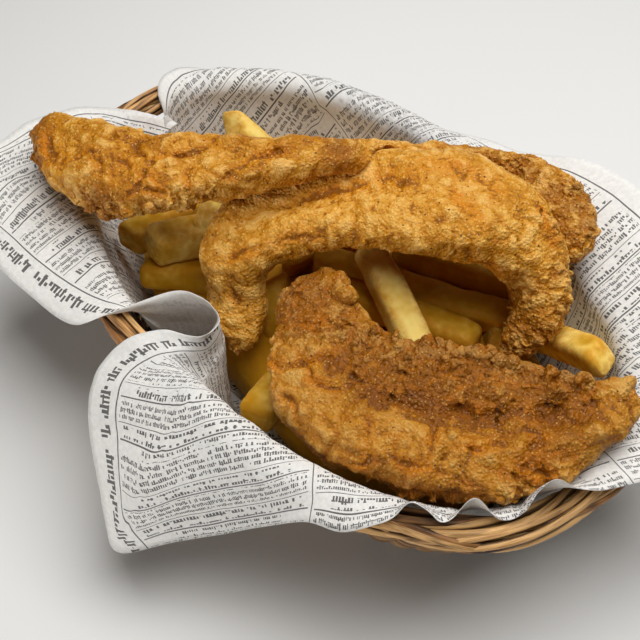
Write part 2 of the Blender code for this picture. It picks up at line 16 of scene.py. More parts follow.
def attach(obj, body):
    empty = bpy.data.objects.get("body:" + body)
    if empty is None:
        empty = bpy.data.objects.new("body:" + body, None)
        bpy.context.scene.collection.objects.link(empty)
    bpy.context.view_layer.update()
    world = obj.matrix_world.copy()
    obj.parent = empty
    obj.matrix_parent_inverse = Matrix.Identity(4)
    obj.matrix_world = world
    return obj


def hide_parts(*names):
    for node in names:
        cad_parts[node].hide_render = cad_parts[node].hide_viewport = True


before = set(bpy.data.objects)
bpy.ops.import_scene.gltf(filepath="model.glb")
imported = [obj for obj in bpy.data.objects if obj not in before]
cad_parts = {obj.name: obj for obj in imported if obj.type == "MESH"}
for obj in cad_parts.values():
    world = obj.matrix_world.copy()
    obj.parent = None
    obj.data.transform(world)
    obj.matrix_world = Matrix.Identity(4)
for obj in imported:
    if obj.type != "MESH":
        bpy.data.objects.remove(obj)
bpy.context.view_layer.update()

# The table: a plain pale matt board, far larger than what stands on it. It isn't part of the serving, so it
# is only the stage.

MM = 0.001
TABLE_HALF = 2500
TABLE_WHITE = (0.79, 0.79, 0.78)


def surface(name, sockets):
    """A material whose Principled BSDF has these values, and its node tree."""
    made = bpy.data.materials.new(name)
    made.use_nodes = True
    shader = made.node_tree.nodes["Principled BSDF"]
    for key, value in sockets.items():
        shader.inputs[key].default_value = (*value, 1) if key == "Base Color" else value
    return made, made.node_tree, shader


def made_piece(name, points, faces, finish):
    """A smooth-shaded object from points in millimetres."""
    mesh = bpy.data.meshes.new(name)
    mesh.from_pydata((np.asarray(points, float) * MM).tolist(), [], faces)
    mesh.materials.append(finish)
    mesh.shade_smooth()
    piece = bpy.data.objects.new(name, mesh)
    bpy.context.scene.collection.objects.link(piece)
    return piece


table_board, _, _ = surface("table board", {"Base Color": TABLE_WHITE, "Roughness": 0.6})
corners = [(x * TABLE_HALF, y * TABLE_HALF, 0) for x, y in ((-1, -1), (1, -1), (1, 1), (-1, 1))]
table = made_piece("table", corners, [(0, 1, 2, 3)], table_board)

# The woven wall and foot: thin round rattan, soaked and woven wet. Stakes run out from the middle of the
# foot and turn up into the wall, and weavers go round in front of one stake and behind the next.

ROUNDNESS = 2.2
BASKET_HALF_LENGTH = 117.3
BASKET_HALF_WIDTH = 74.3
BORDER_HEIGHT = 58.0
BORDER_RADIUS = 6.2
FOOT_HALF_LENGTH = 94.0
FOOT_HALF_WIDTH = 52.0
WALL_TUCK = 2.5
WALL_LEAN = 0.9
WALL_TOP = 51.4
BULGE = 0.028
BULGE_AT = 200.0
BULGE_SPREAD = 24.0
STAKES = 54
WEAVERS = 21
STEPS_PER_STAKE = 6
WEAVER_THICK = 0.78
WEAVER_TALL = 1.22
STAKE_THICK = 0.75
STAKE_WIDE = 1.45
WEAVE_DEPTH = 1.35
WALL_OUT = 0.35
WEAVER_GAP = 0.1
WAVER = 0.25
WAVER_SPAN = 9
FOOT_MIDDLE = 2.05
FOOT_WEAVERS = 19
FOOT_WEAVE_DEPTH = 1.2
FOOT_PITCH = 2.45
FOOT_FIRST = 4.5
FOOT_THINNER = 0.9
FOOT_STAKE_FROM = 2.0
FOOT_STAKE_TO = 50.5
STAKE_TURNS_UP = 4.5
STAKE_OVER = 3.0
# A strand's tone is a draw up to this. Its shade, and where its grain and blotches fall, come from it.
TONES = 90.0
# The darkest of these colours serves the blotches and the painted shade down each strand's sides.
RATTAN_PALE = (0.46, 0.29, 0.135, 1)
RATTAN_TAN = (0.3, 0.155, 0.06, 1)
RATTAN_BROWN_AND_SHADE = (0.115, 0.047, 0.018, 1)
# Grain and blotches for each millimetre along the strand, and across it both ways.
GRAIN_FINE = (0.11, 2.6, 2.6)
BLOTCH_FINE = (0.05, 0.3, 0.3)


def oval(bearing, half_length, half_width):
    """Points of the basket's hand-woven oval at bearings in degrees."""
    angle = np.radians(bearing)
    c, s = np.cos(angle), np.sin(angle)
    x = half_length * np.sign(c) * np.abs(c) ** (2 / ROUNDNESS)
    y = half_width * np.sign(s) * np.abs(s) ** (2 / ROUNDNESS)
    off = (np.asarray(bearing) - BULGE_AT + 180) % 360 - 180
    full = 1 + BULGE * np.exp(-((off / BULGE_SPREAD) ** 2))
    return np.stack([x * full, y * full], axis=-1)


def oval_outwards(bearing):
    """Unit vectors out from the oval of the border, level with the table."""
    x, y = oval(bearing, BASKET_HALF_LENGTH, BASKET_HALF_WIDTH).T
    nx = np.sign(x) * np.abs(x / BASKET_HALF_LENGTH) ** (ROUNDNESS - 1) / BASKET_HALF_LENGTH
    ny = np.sign(y) * np.abs(y / BASKET_HALF_WIDTH) ** (ROUNDNESS - 1) / BASKET_HALF_WIDTH
    size = np.hypot(nx, ny)
    return np.stack([nx / size, ny / size], axis=-1)


def wall_half_sizes(height):
    """Half length and half width of the middle of the wall at a height above the table."""
    rise = min(height / WALL_TOP, 1) ** WALL_LEAN
    return (
        FOOT_HALF_LENGTH + (BASKET_HALF_LENGTH - WALL_TUCK - FOOT_HALF_LENGTH) * rise,
        FOOT_HALF_WIDTH + (BASKET_HALF_WIDTH - WALL_TUCK - FOOT_HALF_WIDTH) * rise,
    )


def tube_faces(rings, sides, closed=False):
    """Faces of a tube of rings of points, each ring after the one before."""
    faces = []
    for i in range(rings if closed else rings - 1):
        here, there = i * sides, (i + 1) % rings * sides
        for k in range(sides):
            m = (k + 1) % sides
            faces.append((here + k, here + m, there + m, there + k))
    return faces


def strand(path, outwards, thick, wide, tone, sides=8, closed=False):
    """One rattan strand: points, faces, where each point lies along and round the strand, and its tone."""
    path = np.asarray(path, float)
    if closed:
        run = np.roll(path, -1, axis=0) - np.roll(path, 1, axis=0)
    else:
        run = np.gradient(path, axis=0)
    run /= np.linalg.norm(run, axis=1, keepdims=True)
    side = outwards - (outwards * run).sum(axis=1, keepdims=True) * run
    side /= np.linalg.norm(side, axis=1, keepdims=True)
    across = np.cross(run, side)
    angle = 2 * np.pi * np.arange(sides) / sides
    cosine, sine = np.cos(angle), np.sin(angle)
    ring = thick * cosine[:, None] * side[:, None] + wide * sine[:, None] * across[:, None]
    count = len(path)
    faces = tube_faces(count, sides, closed)
    if not closed:
        faces.append(tuple(range(sides - 1, -1, -1)))
        faces.append(tuple(range((count - 1) * sides, count * sides)))
    grain = np.zeros((count, sides, 3))
    grain[1:, :, 0] = np.cumsum(np.linalg.norm(np.diff(path, axis=0), axis=1))[:, None]
    grain[..., 1] = wide * cosine
    grain[..., 2] = wide * sine
    return (path[:, None] + ring).reshape(-1, 3), faces, grain.reshape(-1, 3), tone


def keep(piece, name, values):
    """Keeps a number or a vector for each point of a piece, for its finish to read."""
    values = np.asarray(values, np.float32)
    kind, field = ("FLOAT", "value") if values.ndim == 1 else ("FLOAT_VECTOR", "vector")
    piece.data.attributes.new(name, kind, "POINT").data.foreach_set(field, values.ravel())


def joined_piece(name, parts, kept, finish):
    """One object from many parts: points, faces, what is kept for each point, and the part's tone."""
    faces, tones, first = [], [], 0
    for points, some_faces, _, tone in parts:
        faces.extend(tuple(first + k for k in face) for face in some_faces)
        tones.extend([tone] * len(points))
        first += len(points)
    piece = made_piece(name, np.concatenate([part[0] for part in parts]), faces, finish)
    keep(piece, kept, np.concatenate([part[2] for part in parts]))
    keep(piece, "tone", tones)
    return piece


def add(tree, kind, sockets=None, **settings):
    """Adds a shader node, sets its properties and fills its sockets with values or links."""
    made = tree.nodes.new(kind)
    for name, value in settings.items():
        setattr(made, name, value)
    for key, value in (sockets or {}).items():
        if isinstance(value, bpy.types.NodeSocket):
            tree.links.new(value, made.inputs[key])
        else:
            made.inputs[key].default_value = value
    return made


def new_group(name, wanted, given):
    """A shader node group with named inputs and outputs."""
    group = bpy.data.node_groups.new(name, "ShaderNodeTree")
    for label, kind, value in wanted:
        socket = group.interface.new_socket(label, in_out="INPUT", socket_type="NodeSocket" + kind)
        socket.default_value = value
    for label, kind in given:
        group.interface.new_socket(label, in_out="OUTPUT", socket_type="NodeSocket" + kind)
    return group, group.nodes.new("NodeGroupInput").outputs, group.nodes.new("NodeGroupOutput").inputs


def arithmetic(tree, operation, *values):
    """The result of a Math node on values or sockets."""
    return add(tree, "ShaderNodeMath", dict(enumerate(values)), operation=operation).outputs[0]


def product(tree, first, *others):
    """The product of two or more values."""
    for other in others:
        first = arithmetic(tree, "MULTIPLY", first, other)
    return first


def largest(tree, first, *others):
    """The largest of two or more values."""
    for other in others:
        first = arithmetic(tree, "MAXIMUM", first, other)
    return first


def mixed(tree, share, first, second):
    """A colour between two others."""
    return add(tree, "ShaderNodeMix", {0: share, 6: first, 7: second}, data_type="RGBA").outputs[2]


def spread(tree, value, low, high, to_low=0.0, to_high=1.0):
    """A value stretched from one range to another and clamped, with soft ends."""
    sockets = {0: value, 1: low, 2: high, 3: to_low, 4: to_high}
    return add(tree, "ShaderNodeMapRange", sockets, interpolation_type="SMOOTHSTEP").outputs[0]


def vectors(tree, operation, *values):
    """The result of a Vector Math node on values or sockets."""
    return add(tree, "ShaderNodeVectorMath", dict(enumerate(values)), operation=operation).outputs[0]


def cloudy(tree, place, scale, detail, roughness=0.5, distortion=0.0):
    """Soft noise of this many turns for each unit of place."""
    sockets = {"Vector": place, "Scale": scale, "Detail": detail, "Roughness": roughness}
    return add(tree, "ShaderNodeTexNoise", {**sockets, "Distortion": distortion}).outputs["Fac"]


def kept_value(tree, name, output="Fac"):
    """What a piece keeps for each of its points under a name."""
    return add(tree, "ShaderNodeAttribute", attribute_name=name).outputs[output]


def bumped(tree, shader, height, strength, distance):
    """Raises a finish by a height that changes over it."""
    made = add(tree, "ShaderNodeBump", {"Height": height, "Strength": strength, "Distance": distance})
    tree.links.new(made.outputs[0], shader.inputs["Normal"])


# Rattan grain: fine fibres along the strand, patches where the skin was left darker, and each strand's tone.
rattan_grain, wanted, given = new_group(
    "rattan grain",
    [("Pale", "Color", RATTAN_PALE), ("Tan", "Color", RATTAN_TAN), ("Brown", "Color", RATTAN_BROWN_AND_SHADE)],
    [("Color", "Color"), ("Roughness", "Float"), ("Height", "Float")],
)
tree = rattan_grain
grain, tone = kept_value(tree, "grain", "Vector"), kept_value(tree, "tone")
fine = vectors(tree, "MULTIPLY", grain, GRAIN_FINE)
fibre = cloudy(tree, vectors(tree, "ADD", fine, tone), 1.0, 4.0, 0.6)
blotch = cloudy(tree, vectors(tree, "ADD", vectors(tree, "MULTIPLY", grain, BLOTCH_FINE), tone), 1.3, 2.0)
# A number from -0.5 to 0.5 for each strand.
shade = arithmetic(tree, "ADD", arithmetic(tree, "FRACT", product(tree, tone, 0.173)), -0.5)
light = spread(tree, arithmetic(tree, "MULTIPLY_ADD", shade, 0.45, fibre), 0.3, 0.72)
dark = spread(tree, arithmetic(tree, "MULTIPLY_ADD", shade, -0.25, blotch), 0.52, 0.78)
colour = mixed(tree, dark, mixed(tree, light, wanted["Tan"], wanted["Pale"]), wanted["Brown"])
# A strand is painted darker down its sides and behind, where it lies against its neighbours: painted shade.
outward_for_shade = add(tree, "ShaderNodeSeparateXYZ", {0: grain}).outputs[1]
colour = mixed(tree, spread(tree, outward_for_shade, 0.75, 0.1, 0.0, 0.85), colour, wanted["Brown"])
tree.links.new(colour, given["Color"])
tree.links.new(spread(tree, fibre, 0.2, 0.8, 0.54, 0.32), given["Roughness"])
tree.links.new(fibre, given["Height"])


def rattan(name, pale, tan, brown):
    """A rattan finish with its own three colours."""
    finish, tree, shader = surface(name, {"Specular IOR Level": 0.4})
    colours = {"Pale": pale, "Tan": tan, "Brown": brown}
    grain = add(tree, "ShaderNodeGroup", colours, node_tree=rattan_grain).outputs
    tree.links.new(grain["Color"], shader.inputs["Base Color"])
    tree.links.new(grain["Roughness"], shader.inputs["Roughness"])
    bumped(tree, shader, grain["Height"], 0.5, 0.0004)
    return finish


draw = random.Random(3)
strands = []
steps = STAKES * STEPS_PER_STAKE
bearings = np.arange(steps) * 360 / steps
in_front = np.cos(np.pi * np.arange(steps) / STEPS_PER_STAKE)
level_out = np.column_stack([oval_outwards(bearings), np.zeros(steps)])
lowest, highest = WEAVER_TALL + WEAVER_GAP, WALL_TOP - WEAVER_TALL - WEAVER_GAP
for row in range(WEAVERS):
    height = lowest + (highest - lowest) * row / (WEAVERS - 1)
    depth = WEAVE_DEPTH * (-1) ** row * in_front + WALL_OUT
    path = np.column_stack([oval(bearings, *wall_half_sizes(height)), np.full(steps, height)])
    path += depth[:, None] * level_out
    if 0 < row < WEAVERS - 1:
        path[:, 2] += [WAVER * noise.noise((bearing / WAVER_SPAN, row, 0)) for bearing in bearings]
    tone = draw.uniform(0, TONES)
    strands.append(strand(path, level_out, WEAVER_THICK, WEAVER_TALL, tone, closed=True))
down = np.tile((0.0, 0.0, -1.0), (steps, 1))
for row in range(FOOT_WEAVERS):
    half_width = FOOT_FIRST + FOOT_PITCH * row
    half_length = half_width + FOOT_HALF_LENGTH - FOOT_HALF_WIDTH
    height = FOOT_MIDDLE + FOOT_WEAVE_DEPTH * (-1) ** row * in_front
    path = np.column_stack([oval(bearings, half_length, half_width), height])
    thick, tone = WEAVER_THICK * FOOT_THINNER, draw.uniform(0, TONES)
    strands.append(strand(path, down, thick, WEAVER_TALL, tone, sides=6, closed=True))
for k in range(STAKES):
    bearing = 360 * k / STAKES
    out = oval_outwards(np.array([bearing]))[0]
    path, facing = [], []
    for half_width in np.linspace(FOOT_STAKE_FROM, FOOT_STAKE_TO, 7):
        half_length = half_width + FOOT_HALF_LENGTH - FOOT_HALF_WIDTH
        path.append((*oval(bearing, half_length, half_width), FOOT_MIDDLE))
        facing.append((0.05 * out[0], 0.05 * out[1], -1))
    for height in np.linspace(STAKE_TURNS_UP, WALL_TOP + STAKE_OVER, 12):
        path.append((*(oval(bearing, *wall_half_sizes(height)) + WALL_OUT * out), height))
        facing.append((*out, -0.3))
    strands.append(strand(path, np.array(facing), STAKE_THICK, STAKE_WIDE, draw.uniform(0, TONES)))
wall_rattan = rattan("rattan of the wall", RATTAN_PALE, RATTAN_TAN, RATTAN_BROWN_AND_SHADE)
wall = joined_piece("woven_wall", strands, "grain", wall_rattan)
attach(wall, "root")
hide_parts("basket")

# The rolled border: the stakes' long ends, laid in pairs along the edge of the wall. Each pair comes up from
# inside, rolls over the top at a long slant and is tucked in under the outside, with the next ones over it.

RODS = 30
ROD = 1.25
ROD_SPAN = 80
ROD_FROM = -125
ROD_TO = 135
ROD_STEPS = 34
PAIR_APART = 29
BORDER_FILL = 2.2
FILL_SIZE = 1.3
FILL_STEPS = 180
# How far a pair starts from its even place, how long it runs and how it leans, and the rods' sizes.
ROD_DRIFT = 2.5
ROD_SPANS = (0.86, 1.16)
ROD_LEAN = 22
ROD_SIZES = (0.9, 1.08)
# How deep the ends are tucked in and every third pair lies, and how far the rods rise and fall on their way.
TUCKED_DEEP = 1.9
UNDER_DEEP = 1.1
RIPPLE = 0.95
# The darkest of these colours serves the blotches and the painted shade down each rod's sides.
BORDER_PALE = (0.80, 0.47, 0.18, 1)
BORDER_TAN = (0.34, 0.145, 0.04, 1)
BORDER_BROWN_AND_SHADE = (0.035, 0.012, 0.004, 1)


def round_border(bearing, angle, radius):
    """Points at an angle from the top of the border, positive outwards, and a radius from its middle line."""
    middle = oval(bearing, BASKET_HALF_LENGTH, BASKET_HALF_WIDTH)
    out = oval_outwards(bearing)
    level = middle + (radius * np.sin(angle))[:, None] * out
    return np.column_stack([level, BORDER_HEIGHT + radius * np.cos(angle)])


strands = []
around = np.arange(FILL_STEPS) * 360 / FILL_STEPS
level = np.zeros(FILL_STEPS)
for angle in (0, 120, 240):
    path = round_border(around, np.radians(angle + 3 * around), level + BORDER_FILL)
    facing = path - round_border(around, level, level)
    strands.append(strand(path, facing, FILL_SIZE, FILL_SIZE, draw.uniform(0, TONES), sides=6, closed=True))
part = np.linspace(0, 1, ROD_STEPS)
tucked = np.abs(2 * part - 1) ** 5
level = np.zeros(ROD_STEPS)
for k in range(RODS):
    start = 360 * k / RODS + draw.uniform(-ROD_DRIFT, ROD_DRIFT)
    span = ROD_SPAN * draw.uniform(*ROD_SPANS)
    lean = draw.uniform(-ROD_LEAN, ROD_LEAN)
    # Two pairs in three roll outwards one way along the edge, and every third lies under them the other way.
    under = k % 3 == 1
    for side in (-0.5, 0.5):
        bearing = start + span * (part if under else 1 - part) + side * 2
        angle = ROD_FROM + (ROD_TO - ROD_FROM) * (part + 0.09 * np.sin(2 * np.pi * part))
        angle = angle + lean * (1 - tucked) + side * PAIR_APART * (1 + 0.25 * np.sin(9 * part + k))
        radius = BORDER_RADIUS - ROD - TUCKED_DEEP * tucked - UNDER_DEEP * under
        radius = radius + RIPPLE * np.sin(7 * part + 2.1 * k) - 0.3
        radius = np.minimum(radius, BORDER_RADIUS - ROD + 0.3)
        path = round_border(bearing, np.radians(angle), radius)
        facing = path - round_border(bearing, level, level)
        size = ROD * draw.uniform(*ROD_SIZES)
        strands.append(strand(path, facing, size, size, draw.uniform(0, TONES)))
border_rattan = rattan("rattan of the border", BORDER_PALE, BORDER_TAN, BORDER_BROWN_AND_SHADE)
border = joined_piece("rolled_border", strands, "grain", border_rattan)
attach(border, "root")
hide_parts("basket_rim")

# The paper: one square sheet of thin greaseproof deli paper with a newsprint pattern on its upper face. It is
# pressed down into the basket by the food, and its four corners and ruffled edges hang over the border.

PAPER_SIZE = 300.0
PAPER_LIFT = 0.55
PAPER_THICK = 0.16
PAPER_ROUND = 7.6
WALL_THICK = 3.2
FLOOR_TOP = 4.85
FLOOR_PART = 0.88
HEEL_HEIGHT = 16.0
HEEL_IN = 2.5
HEEL_INSET = 0.3
LIP_LIFT = -14.0
ON_BORDER_FROM = math.radians(-80)
ON_BORDER_AT = (0.12, 0.34, 0.56, 0.78, 1)
CREST_INSIDE = (-6.0, -2.0)
BELLY = 0.06
# Each row follows the sheet from the floor to its edge at one bearing: bearing on the floor and wall in
# degrees; how far the sheet stands in from the wall; reach and lift of its crest, out from the border's
# centre line and up from the border's top; then bearing, reach and lift of its edge.
PAPER_ROWS = (
    (274.5, 0, 0, 1.4, 278, 44, -40), (280, 0, 0, 1.4, 282, 33, -34), (286, 0, 0, 1.4, 286, 24, -30),
    (292, 0, 0, 1.4, 291, 16, -24), (298, 0, -1, 1.4, 297, 12, -12), (303, 0, 0, 1.4, 302, 9.8, -3),
    (307, 0, 0, 1, 307, 9.6, -3.4), (311, 0, 0, 0, 311, 6.5, 1.2), (315, 0, 0, 0, 315, 2, 3),
    (317.5, 0, 0, 2, 317, 0, 11), (321, 0, 0, -1, 321, 0, 6), (324, 0, 0, -2, 324, 1, 2),
    (328.5, 0, 0, 3, 328, -3, 13), (332, 0, 0, 0, 331.5, -2, 8), (334.5, 0, 0, -2, 334.5, -0.5, 2.5),
    (338.5, 0, 0, -2, 338, 0, 2), (342, 0, 0, 1, 341.5, -1, 9), (345.5, 0, 0, 5, 345, -3, 17),
    (349, 0, 0, 2, 349, 0, 13), (353, 0, 0, 0, 353, 1, 6.5), (358, 0, 0, 0, 358, 4, 3.5),
    (364, 0, 0, 1, 363, 9, 3), (371, 0, 0, 1.4, 370, 19, 3), (379, 0, 0, 1.6, 379, 33, 1),
    (387, 0, 0, 2, 387, 49, -3), (395, 0, 0, 2.4, 395, 44, 2), (404, 0, 0, 2.8, 404, 36, 7),
    (414, 0, 0, 3, 414, 30, 11), (424, 0, 0, 3, 424, 27, 13), (433, 0, 0, 2.4, 433, 24, 13),
    (440, 0, 0, 1.6, 440, 18, 10), (446, 0, 0, 1.4, 446, 13, 4), (453, 0, 0, 1.4, 454, 12, -3),
    (462, 0, 0, 1.4, 464, 13.5, -14), (474, 0, 0, 1.4, 477, 15, -31), (487, 0, 0, 1.4, 489, 16, -46),
    (500, 0, 0, 1.4, 500, 16.5, -38), (512, 0, 0, 1.4, 511, 15.5, -24), (521, 0, 0, 1.4, 519, 13.5, -9),
    (527, 0, -1, 1.6, 526, 9.5, 0.5), (532, 0, -4, 1, 532, 5, 2.8), (536, 0, -8, -1, 536.5, 0, 2),
    (539, 0, -10, -4, 538.5, -7.5, -3), (541, 2, -13, -9, 537.5, -10.5, -8),
    (543.5, 3, -15, -13, 535.5, -13.5, -10), (547, 2, -13, -10, 540, -8.5, -6),
    (551, 1, -10, -4, 546, -5, 0), (556, 0, -5, 1, 552, 5, 2.5), (561, 0, -2, 1.6, 558, 12, 5),
    (567, 0, 0, 2, 565, 20, 8), (573, 0, 0, 2, 573, 28, 9), (580, 0, 0, 2, 579, 47, 3),
    (587, 0, 0, 1.8, 586, 44, 0), (593, 0, 0, 1.4, 592, 34, -2), (599, 0, 0, 1.4, 598, 30, -2.5),
    (606, 0, 0, 1.4, 605, 23, -4), (612, 0, 0, 1.4, 612, 17, -5), (615.5, 1, -1, 1.4, 615, 12.5, -3),
    (618, 2, -3, 1.4, 617, 7.5, 1.6), (619.5, 5, -7, 2, 618.5, -0.5, 4.5),
    (621, 9, -13, 3, 619.5, -10, 5.5), (622.5, 14, -20, 3, 621, -19, 6.5),
    (624, 17, -24, 1.5, 624, -23.5, 6.5), (625.5, 18, -26, 1.5, 626.5, -24.5, 6.5),
    (627, 18, -26, 1.5, 628.7, -24, 6.5), (628.2, 17, -25, 1, 630, -22, 6.5),
    (629.2, 15, -22, 1, 630.3, -18.5, 6), (630, 11, -17, 1, 630, -14, 5.5),
    (630.6, 8, -13, 1, 628.3, -11, 5), (631.2, 5, -10, 1, 626, -8, 4.7),
    (631.8, 2, -6, 1.2, 624.3, -3.5, 3), (632.4, 0, -3, 1.4, 623.3, 2, 2.6),
    (633, 0, -1, 1.4, 622.5, 9, -1), (633.4, 0, 0, 1.4, 622.6, 15, -6), (633.7, 0, 0, 1.4, 624, 21, -11),
    (633.9, 0, 0, 1.4, 627, 28, -17), (634.1, 0, 0, 1.4, 631, 34, -24), (634.3, 0, 0, 1.4, 635, 40, -33),
)
# The bearings of the rows that run to the sheet's corners, in the order of the rows.
CORNER_BEARINGS = (274.5, 387, 487, 580)
PAPER_STEPS = 6
PAPER_DEPTH = 66
SAMPLE_DEPTH = 3
PRESS_ROUNDS = 900
PRESS_HASTE = 1.2
RUFFLE_ROUNDS = 9
CRUMPLE = ((34.0, 0.9), (13.0, 0.4), (5.0, 0.12))
PAPER_WHITE = (0.79, 0.775, 0.745, 1)
PAPER_GREY = (0.66, 0.64, 0.61, 1)
INK = (0.05, 0.047, 0.045, 1)
# The print stands in columns of blocks, and each column's blocks start lower than its neighbour's by a step.
# Each set of rows in a block: where it starts and ends, its row pitch, the width of its strokes, and how much
# of each side of the column it leaves blank.
COLUMN_WIDE = 71.0
BLOCK_DEEP = 41.0
COLUMN_STEP = 23.7
PRINT_ROWS = (
    (1.6, 6.2, 4.6, 1.3, 3.0), (8.2, 11.6, 3.4, 0.9, 13.0), (12.2, 24.2, 3.0, 0.78, 1.6),
    (26.4, 30.6, 4.2, 1.15, 7.0), (32.4, 40.2, 2.6, 0.66, 1.6),
)
# Rules across a block: where they lie in it and half their thickness.
PRINT_RULES = ((0.5, 0.16), (7.1, 0.32), (25.3, 0.14), (31.5, 0.28))
# An upright rule stands at each column's start: half its thickness, and how far off the others stop.
UPRIGHT_RULE = 0.2
RULES_STOP = 1.2
# Between a blank margin and a line, a band of large type runs along one edge of the sheet: its row pitch and
# the width of its strokes.
EDGE_BLANK = 4.5
BAND_LINE = 12.5
BAND_TYPE = (6.4, 1.9)
# The lines along the band, the next edge and the far edge: how far in each lies, half its thickness, and how
# far past it the small print starts.
EDGE_LINES = ((BAND_LINE, 0.28, 0.8), (4.2, 0.25, 1.3), (6.5, 0.25, 1.5))


def from_border(bearing, reach, lift):
    """Point out from the border's centre line by reach and above the border's top by lift."""
    at = oval(bearing, BASKET_HALF_LENGTH, BASKET_HALF_WIDTH) + reach * oval_outwards(np.array([bearing]))[0]
    return np.array((at[0], at[1], BORDER_HEIGHT + BORDER_RADIUS + lift))


def paper_column(row):
    """Points of the sheet from the foot of the wall to its edge, along one row's bearing."""
    bearing, inset, crest_reach, crest_lift, edge_bearing, edge_reach, edge_lift = row
    inner = -WALL_THICK / 2 - PAPER_LIFT
    floor = oval(bearing, (FOOT_HALF_LENGTH + inner) * FLOOR_PART, (FOOT_HALF_WIDTH + inner) * FLOOR_PART)
    column = [(*floor, FLOOR_TOP)]
    half_length, half_width = wall_half_sizes(HEEL_HEIGHT)
    away = inner - HEEL_IN - inset * HEEL_INSET
    column.append((*oval(bearing, half_length + away, half_width + away), HEEL_HEIGHT))
    lip_reach = min(-PAPER_ROUND - 1.1 - inset, crest_reach - 1.5)
    column.append(from_border(bearing, lip_reach, LIP_LIFT))
    # A sheet laid over the border lies on it up to where the straight run to its edge leaves it.
    edge_up = edge_lift + BORDER_RADIUS
    far = max(math.hypot(edge_reach, edge_up), PAPER_ROUND)
    leave = max(math.atan2(edge_reach, edge_up) - math.acos(PAPER_ROUND / far), ON_BORDER_FROM)
    # Where it stands up inside the border instead, it goes through its crest.
    over = np.interp(crest_reach, CREST_INSIDE, (0, 1))
    stands = (lip_reach, crest_reach, edge_reach), (LIP_LIFT, crest_lift, edge_lift)
    for part in ON_BORDER_AT:
        angle = ON_BORDER_FROM + (leave - ON_BORDER_FROM) * part
        laid = np.array((PAPER_ROUND * math.sin(angle), PAPER_ROUND * math.cos(angle) - BORDER_RADIUS))
        stood = np.array([np.interp(1.5 * part, (0, 1, 2), way) for way in stands])
        reach, lift = over * laid + (1 - over) * stood
        column.append(from_border(bearing + 0.4 * part * (edge_bearing - bearing), reach, lift))
    belly = BELLY * math.hypot(edge_reach - reach, edge_lift - lift)
    middle_lift = 0.5 * (lift + edge_lift) + belly
    turned = bearing + 0.7 * (edge_bearing - bearing)
    column.append(from_border(turned, 0.5 * (reach + edge_reach), middle_lift))
    column.append(from_border(edge_bearing, edge_reach, edge_lift))
    return np.array(column)


def bend(before, start, end, beyond, part):
    """Where a smooth curve through four points in a row is, part of the way from start to end."""
    turn = 2 * before - 5 * start + 4 * end - beyond + part * (3 * (start - end) + beyond - before)
    return start + 0.5 * part * (end - before + part * turn)


def rounded(rows, steps):
    """A closed smooth curve through rows of points, steps of them for each span."""
    before, after, beyond = np.roll(rows, 1, axis=0), np.roll(rows, -1, axis=0), np.roll(rows, -2, axis=0)
    found = [bend(before, rows, after, beyond, k / steps) for k in range(steps)]
    return np.stack(found, axis=1).reshape(-1, *rows.shape[1:])


def through(points, steps):
    """An open smooth curve through points, steps of them for each span."""
    points = np.asarray(points, float)
    ends = np.concatenate([points[:1], points, points[-1:]])
    found = [bend(*ends[i:i + 4], k / steps) for i in range(len(points) - 1) for k in range(steps)]
    return np.array([*found, points[-1]])


columns = rounded(np.array([paper_column(row) for row in PAPER_ROWS]), PAPER_STEPS)
# A sheet bends in rounds, so the ruffles' tops and bottoms are eased.
for _ in range(RUFFLE_ROUNDS):
    columns = 0.5 * columns + 0.25 * (np.roll(columns, 1, axis=0) + np.roll(columns, -1, axis=0))
edge = columns[:, -1]
edge_run = np.concatenate([[0], np.cumsum(np.linalg.norm(np.roll(edge, -1, axis=0) - edge, axis=1))])
starts = [PAPER_STEPS * [row[0] for row in PAPER_ROWS].index(bearing) for bearing in CORNER_BEARINGS]
half = PAPER_SIZE / 2
flat_corners = np.array([(half, -half), (half, half), (-half, half), (-half, -half), (half, -half)])
marks = [edge_run[i] for i in starts] + [edge_run[-1]]
flat_edge = np.column_stack([np.interp(edge_run[:-1], marks, flat_corners[:, k]) for k in (0, 1)])
middle = np.array((0, 0, FLOOR_TOP))
sheet, flat = [], []
for column, flat_end in zip(columns, flat_edge):
    line = through([middle, 0.5 * (column[0] + middle), *column], 10)
    run = np.concatenate([[0], np.cumsum(np.linalg.norm(np.diff(line, axis=0), axis=1))])
    at = np.linspace(0, run[-1], PAPER_DEPTH + 1)[1:]
    sheet.append(np.column_stack([np.interp(at, run, line[:, k]) for k in range(3)]))
    flat.append(flat_end * (at / run[-1])[:, None])
sheet, flat = np.array(sheet), np.array(flat)
# Pressing the sheet down gathers it, so where each point lies on the flat square is worked out from its
# distances to its neighbours, with the cut edge held on the square.
sampled = (slice(None, None, PAPER_STEPS), slice(SAMPLE_DEPTH - 1, None, SAMPLE_DEPTH))
coarse, pressed = sheet[sampled], flat[sampled].copy()
held = pressed[:, -1].copy()
neighbour_steps = [(0, 1), (1, 0), (1, 1), (1, -1)]
rests = [np.linalg.norm(np.roll(coarse, (-i, -k), (0, 1)) - coarse, axis=2) for i, k in neighbour_steps]
for _ in range(PRESS_ROUNDS):
    pull, count = np.zeros_like(pressed), np.zeros(pressed.shape[:2])
    for (i, k), rest in zip(neighbour_steps, rests):
        gap = np.roll(pressed, (-i, -k), (0, 1)) - pressed
        long = np.maximum(np.linalg.norm(gap, axis=2), 1e-3)
        use = np.ones_like(long)
        if k == 1:
            use[:, -1] = 0
        if k == -1:
            use[:, 0] = 0
        part = (use * 0.5 * (long - rest) / long)[..., None] * gap
        pull += part - np.roll(part, (i, k), (0, 1))
        count += use + np.roll(use, (i, k), (0, 1))
    pressed += pull / count[..., None] * PRESS_HASTE
    pressed[:, -1] = held
shifted = pressed - flat[sampled]
shifted = np.concatenate([np.zeros((len(shifted), 1, 2)), shifted], axis=1)
shifted = rounded(shifted, PAPER_STEPS)
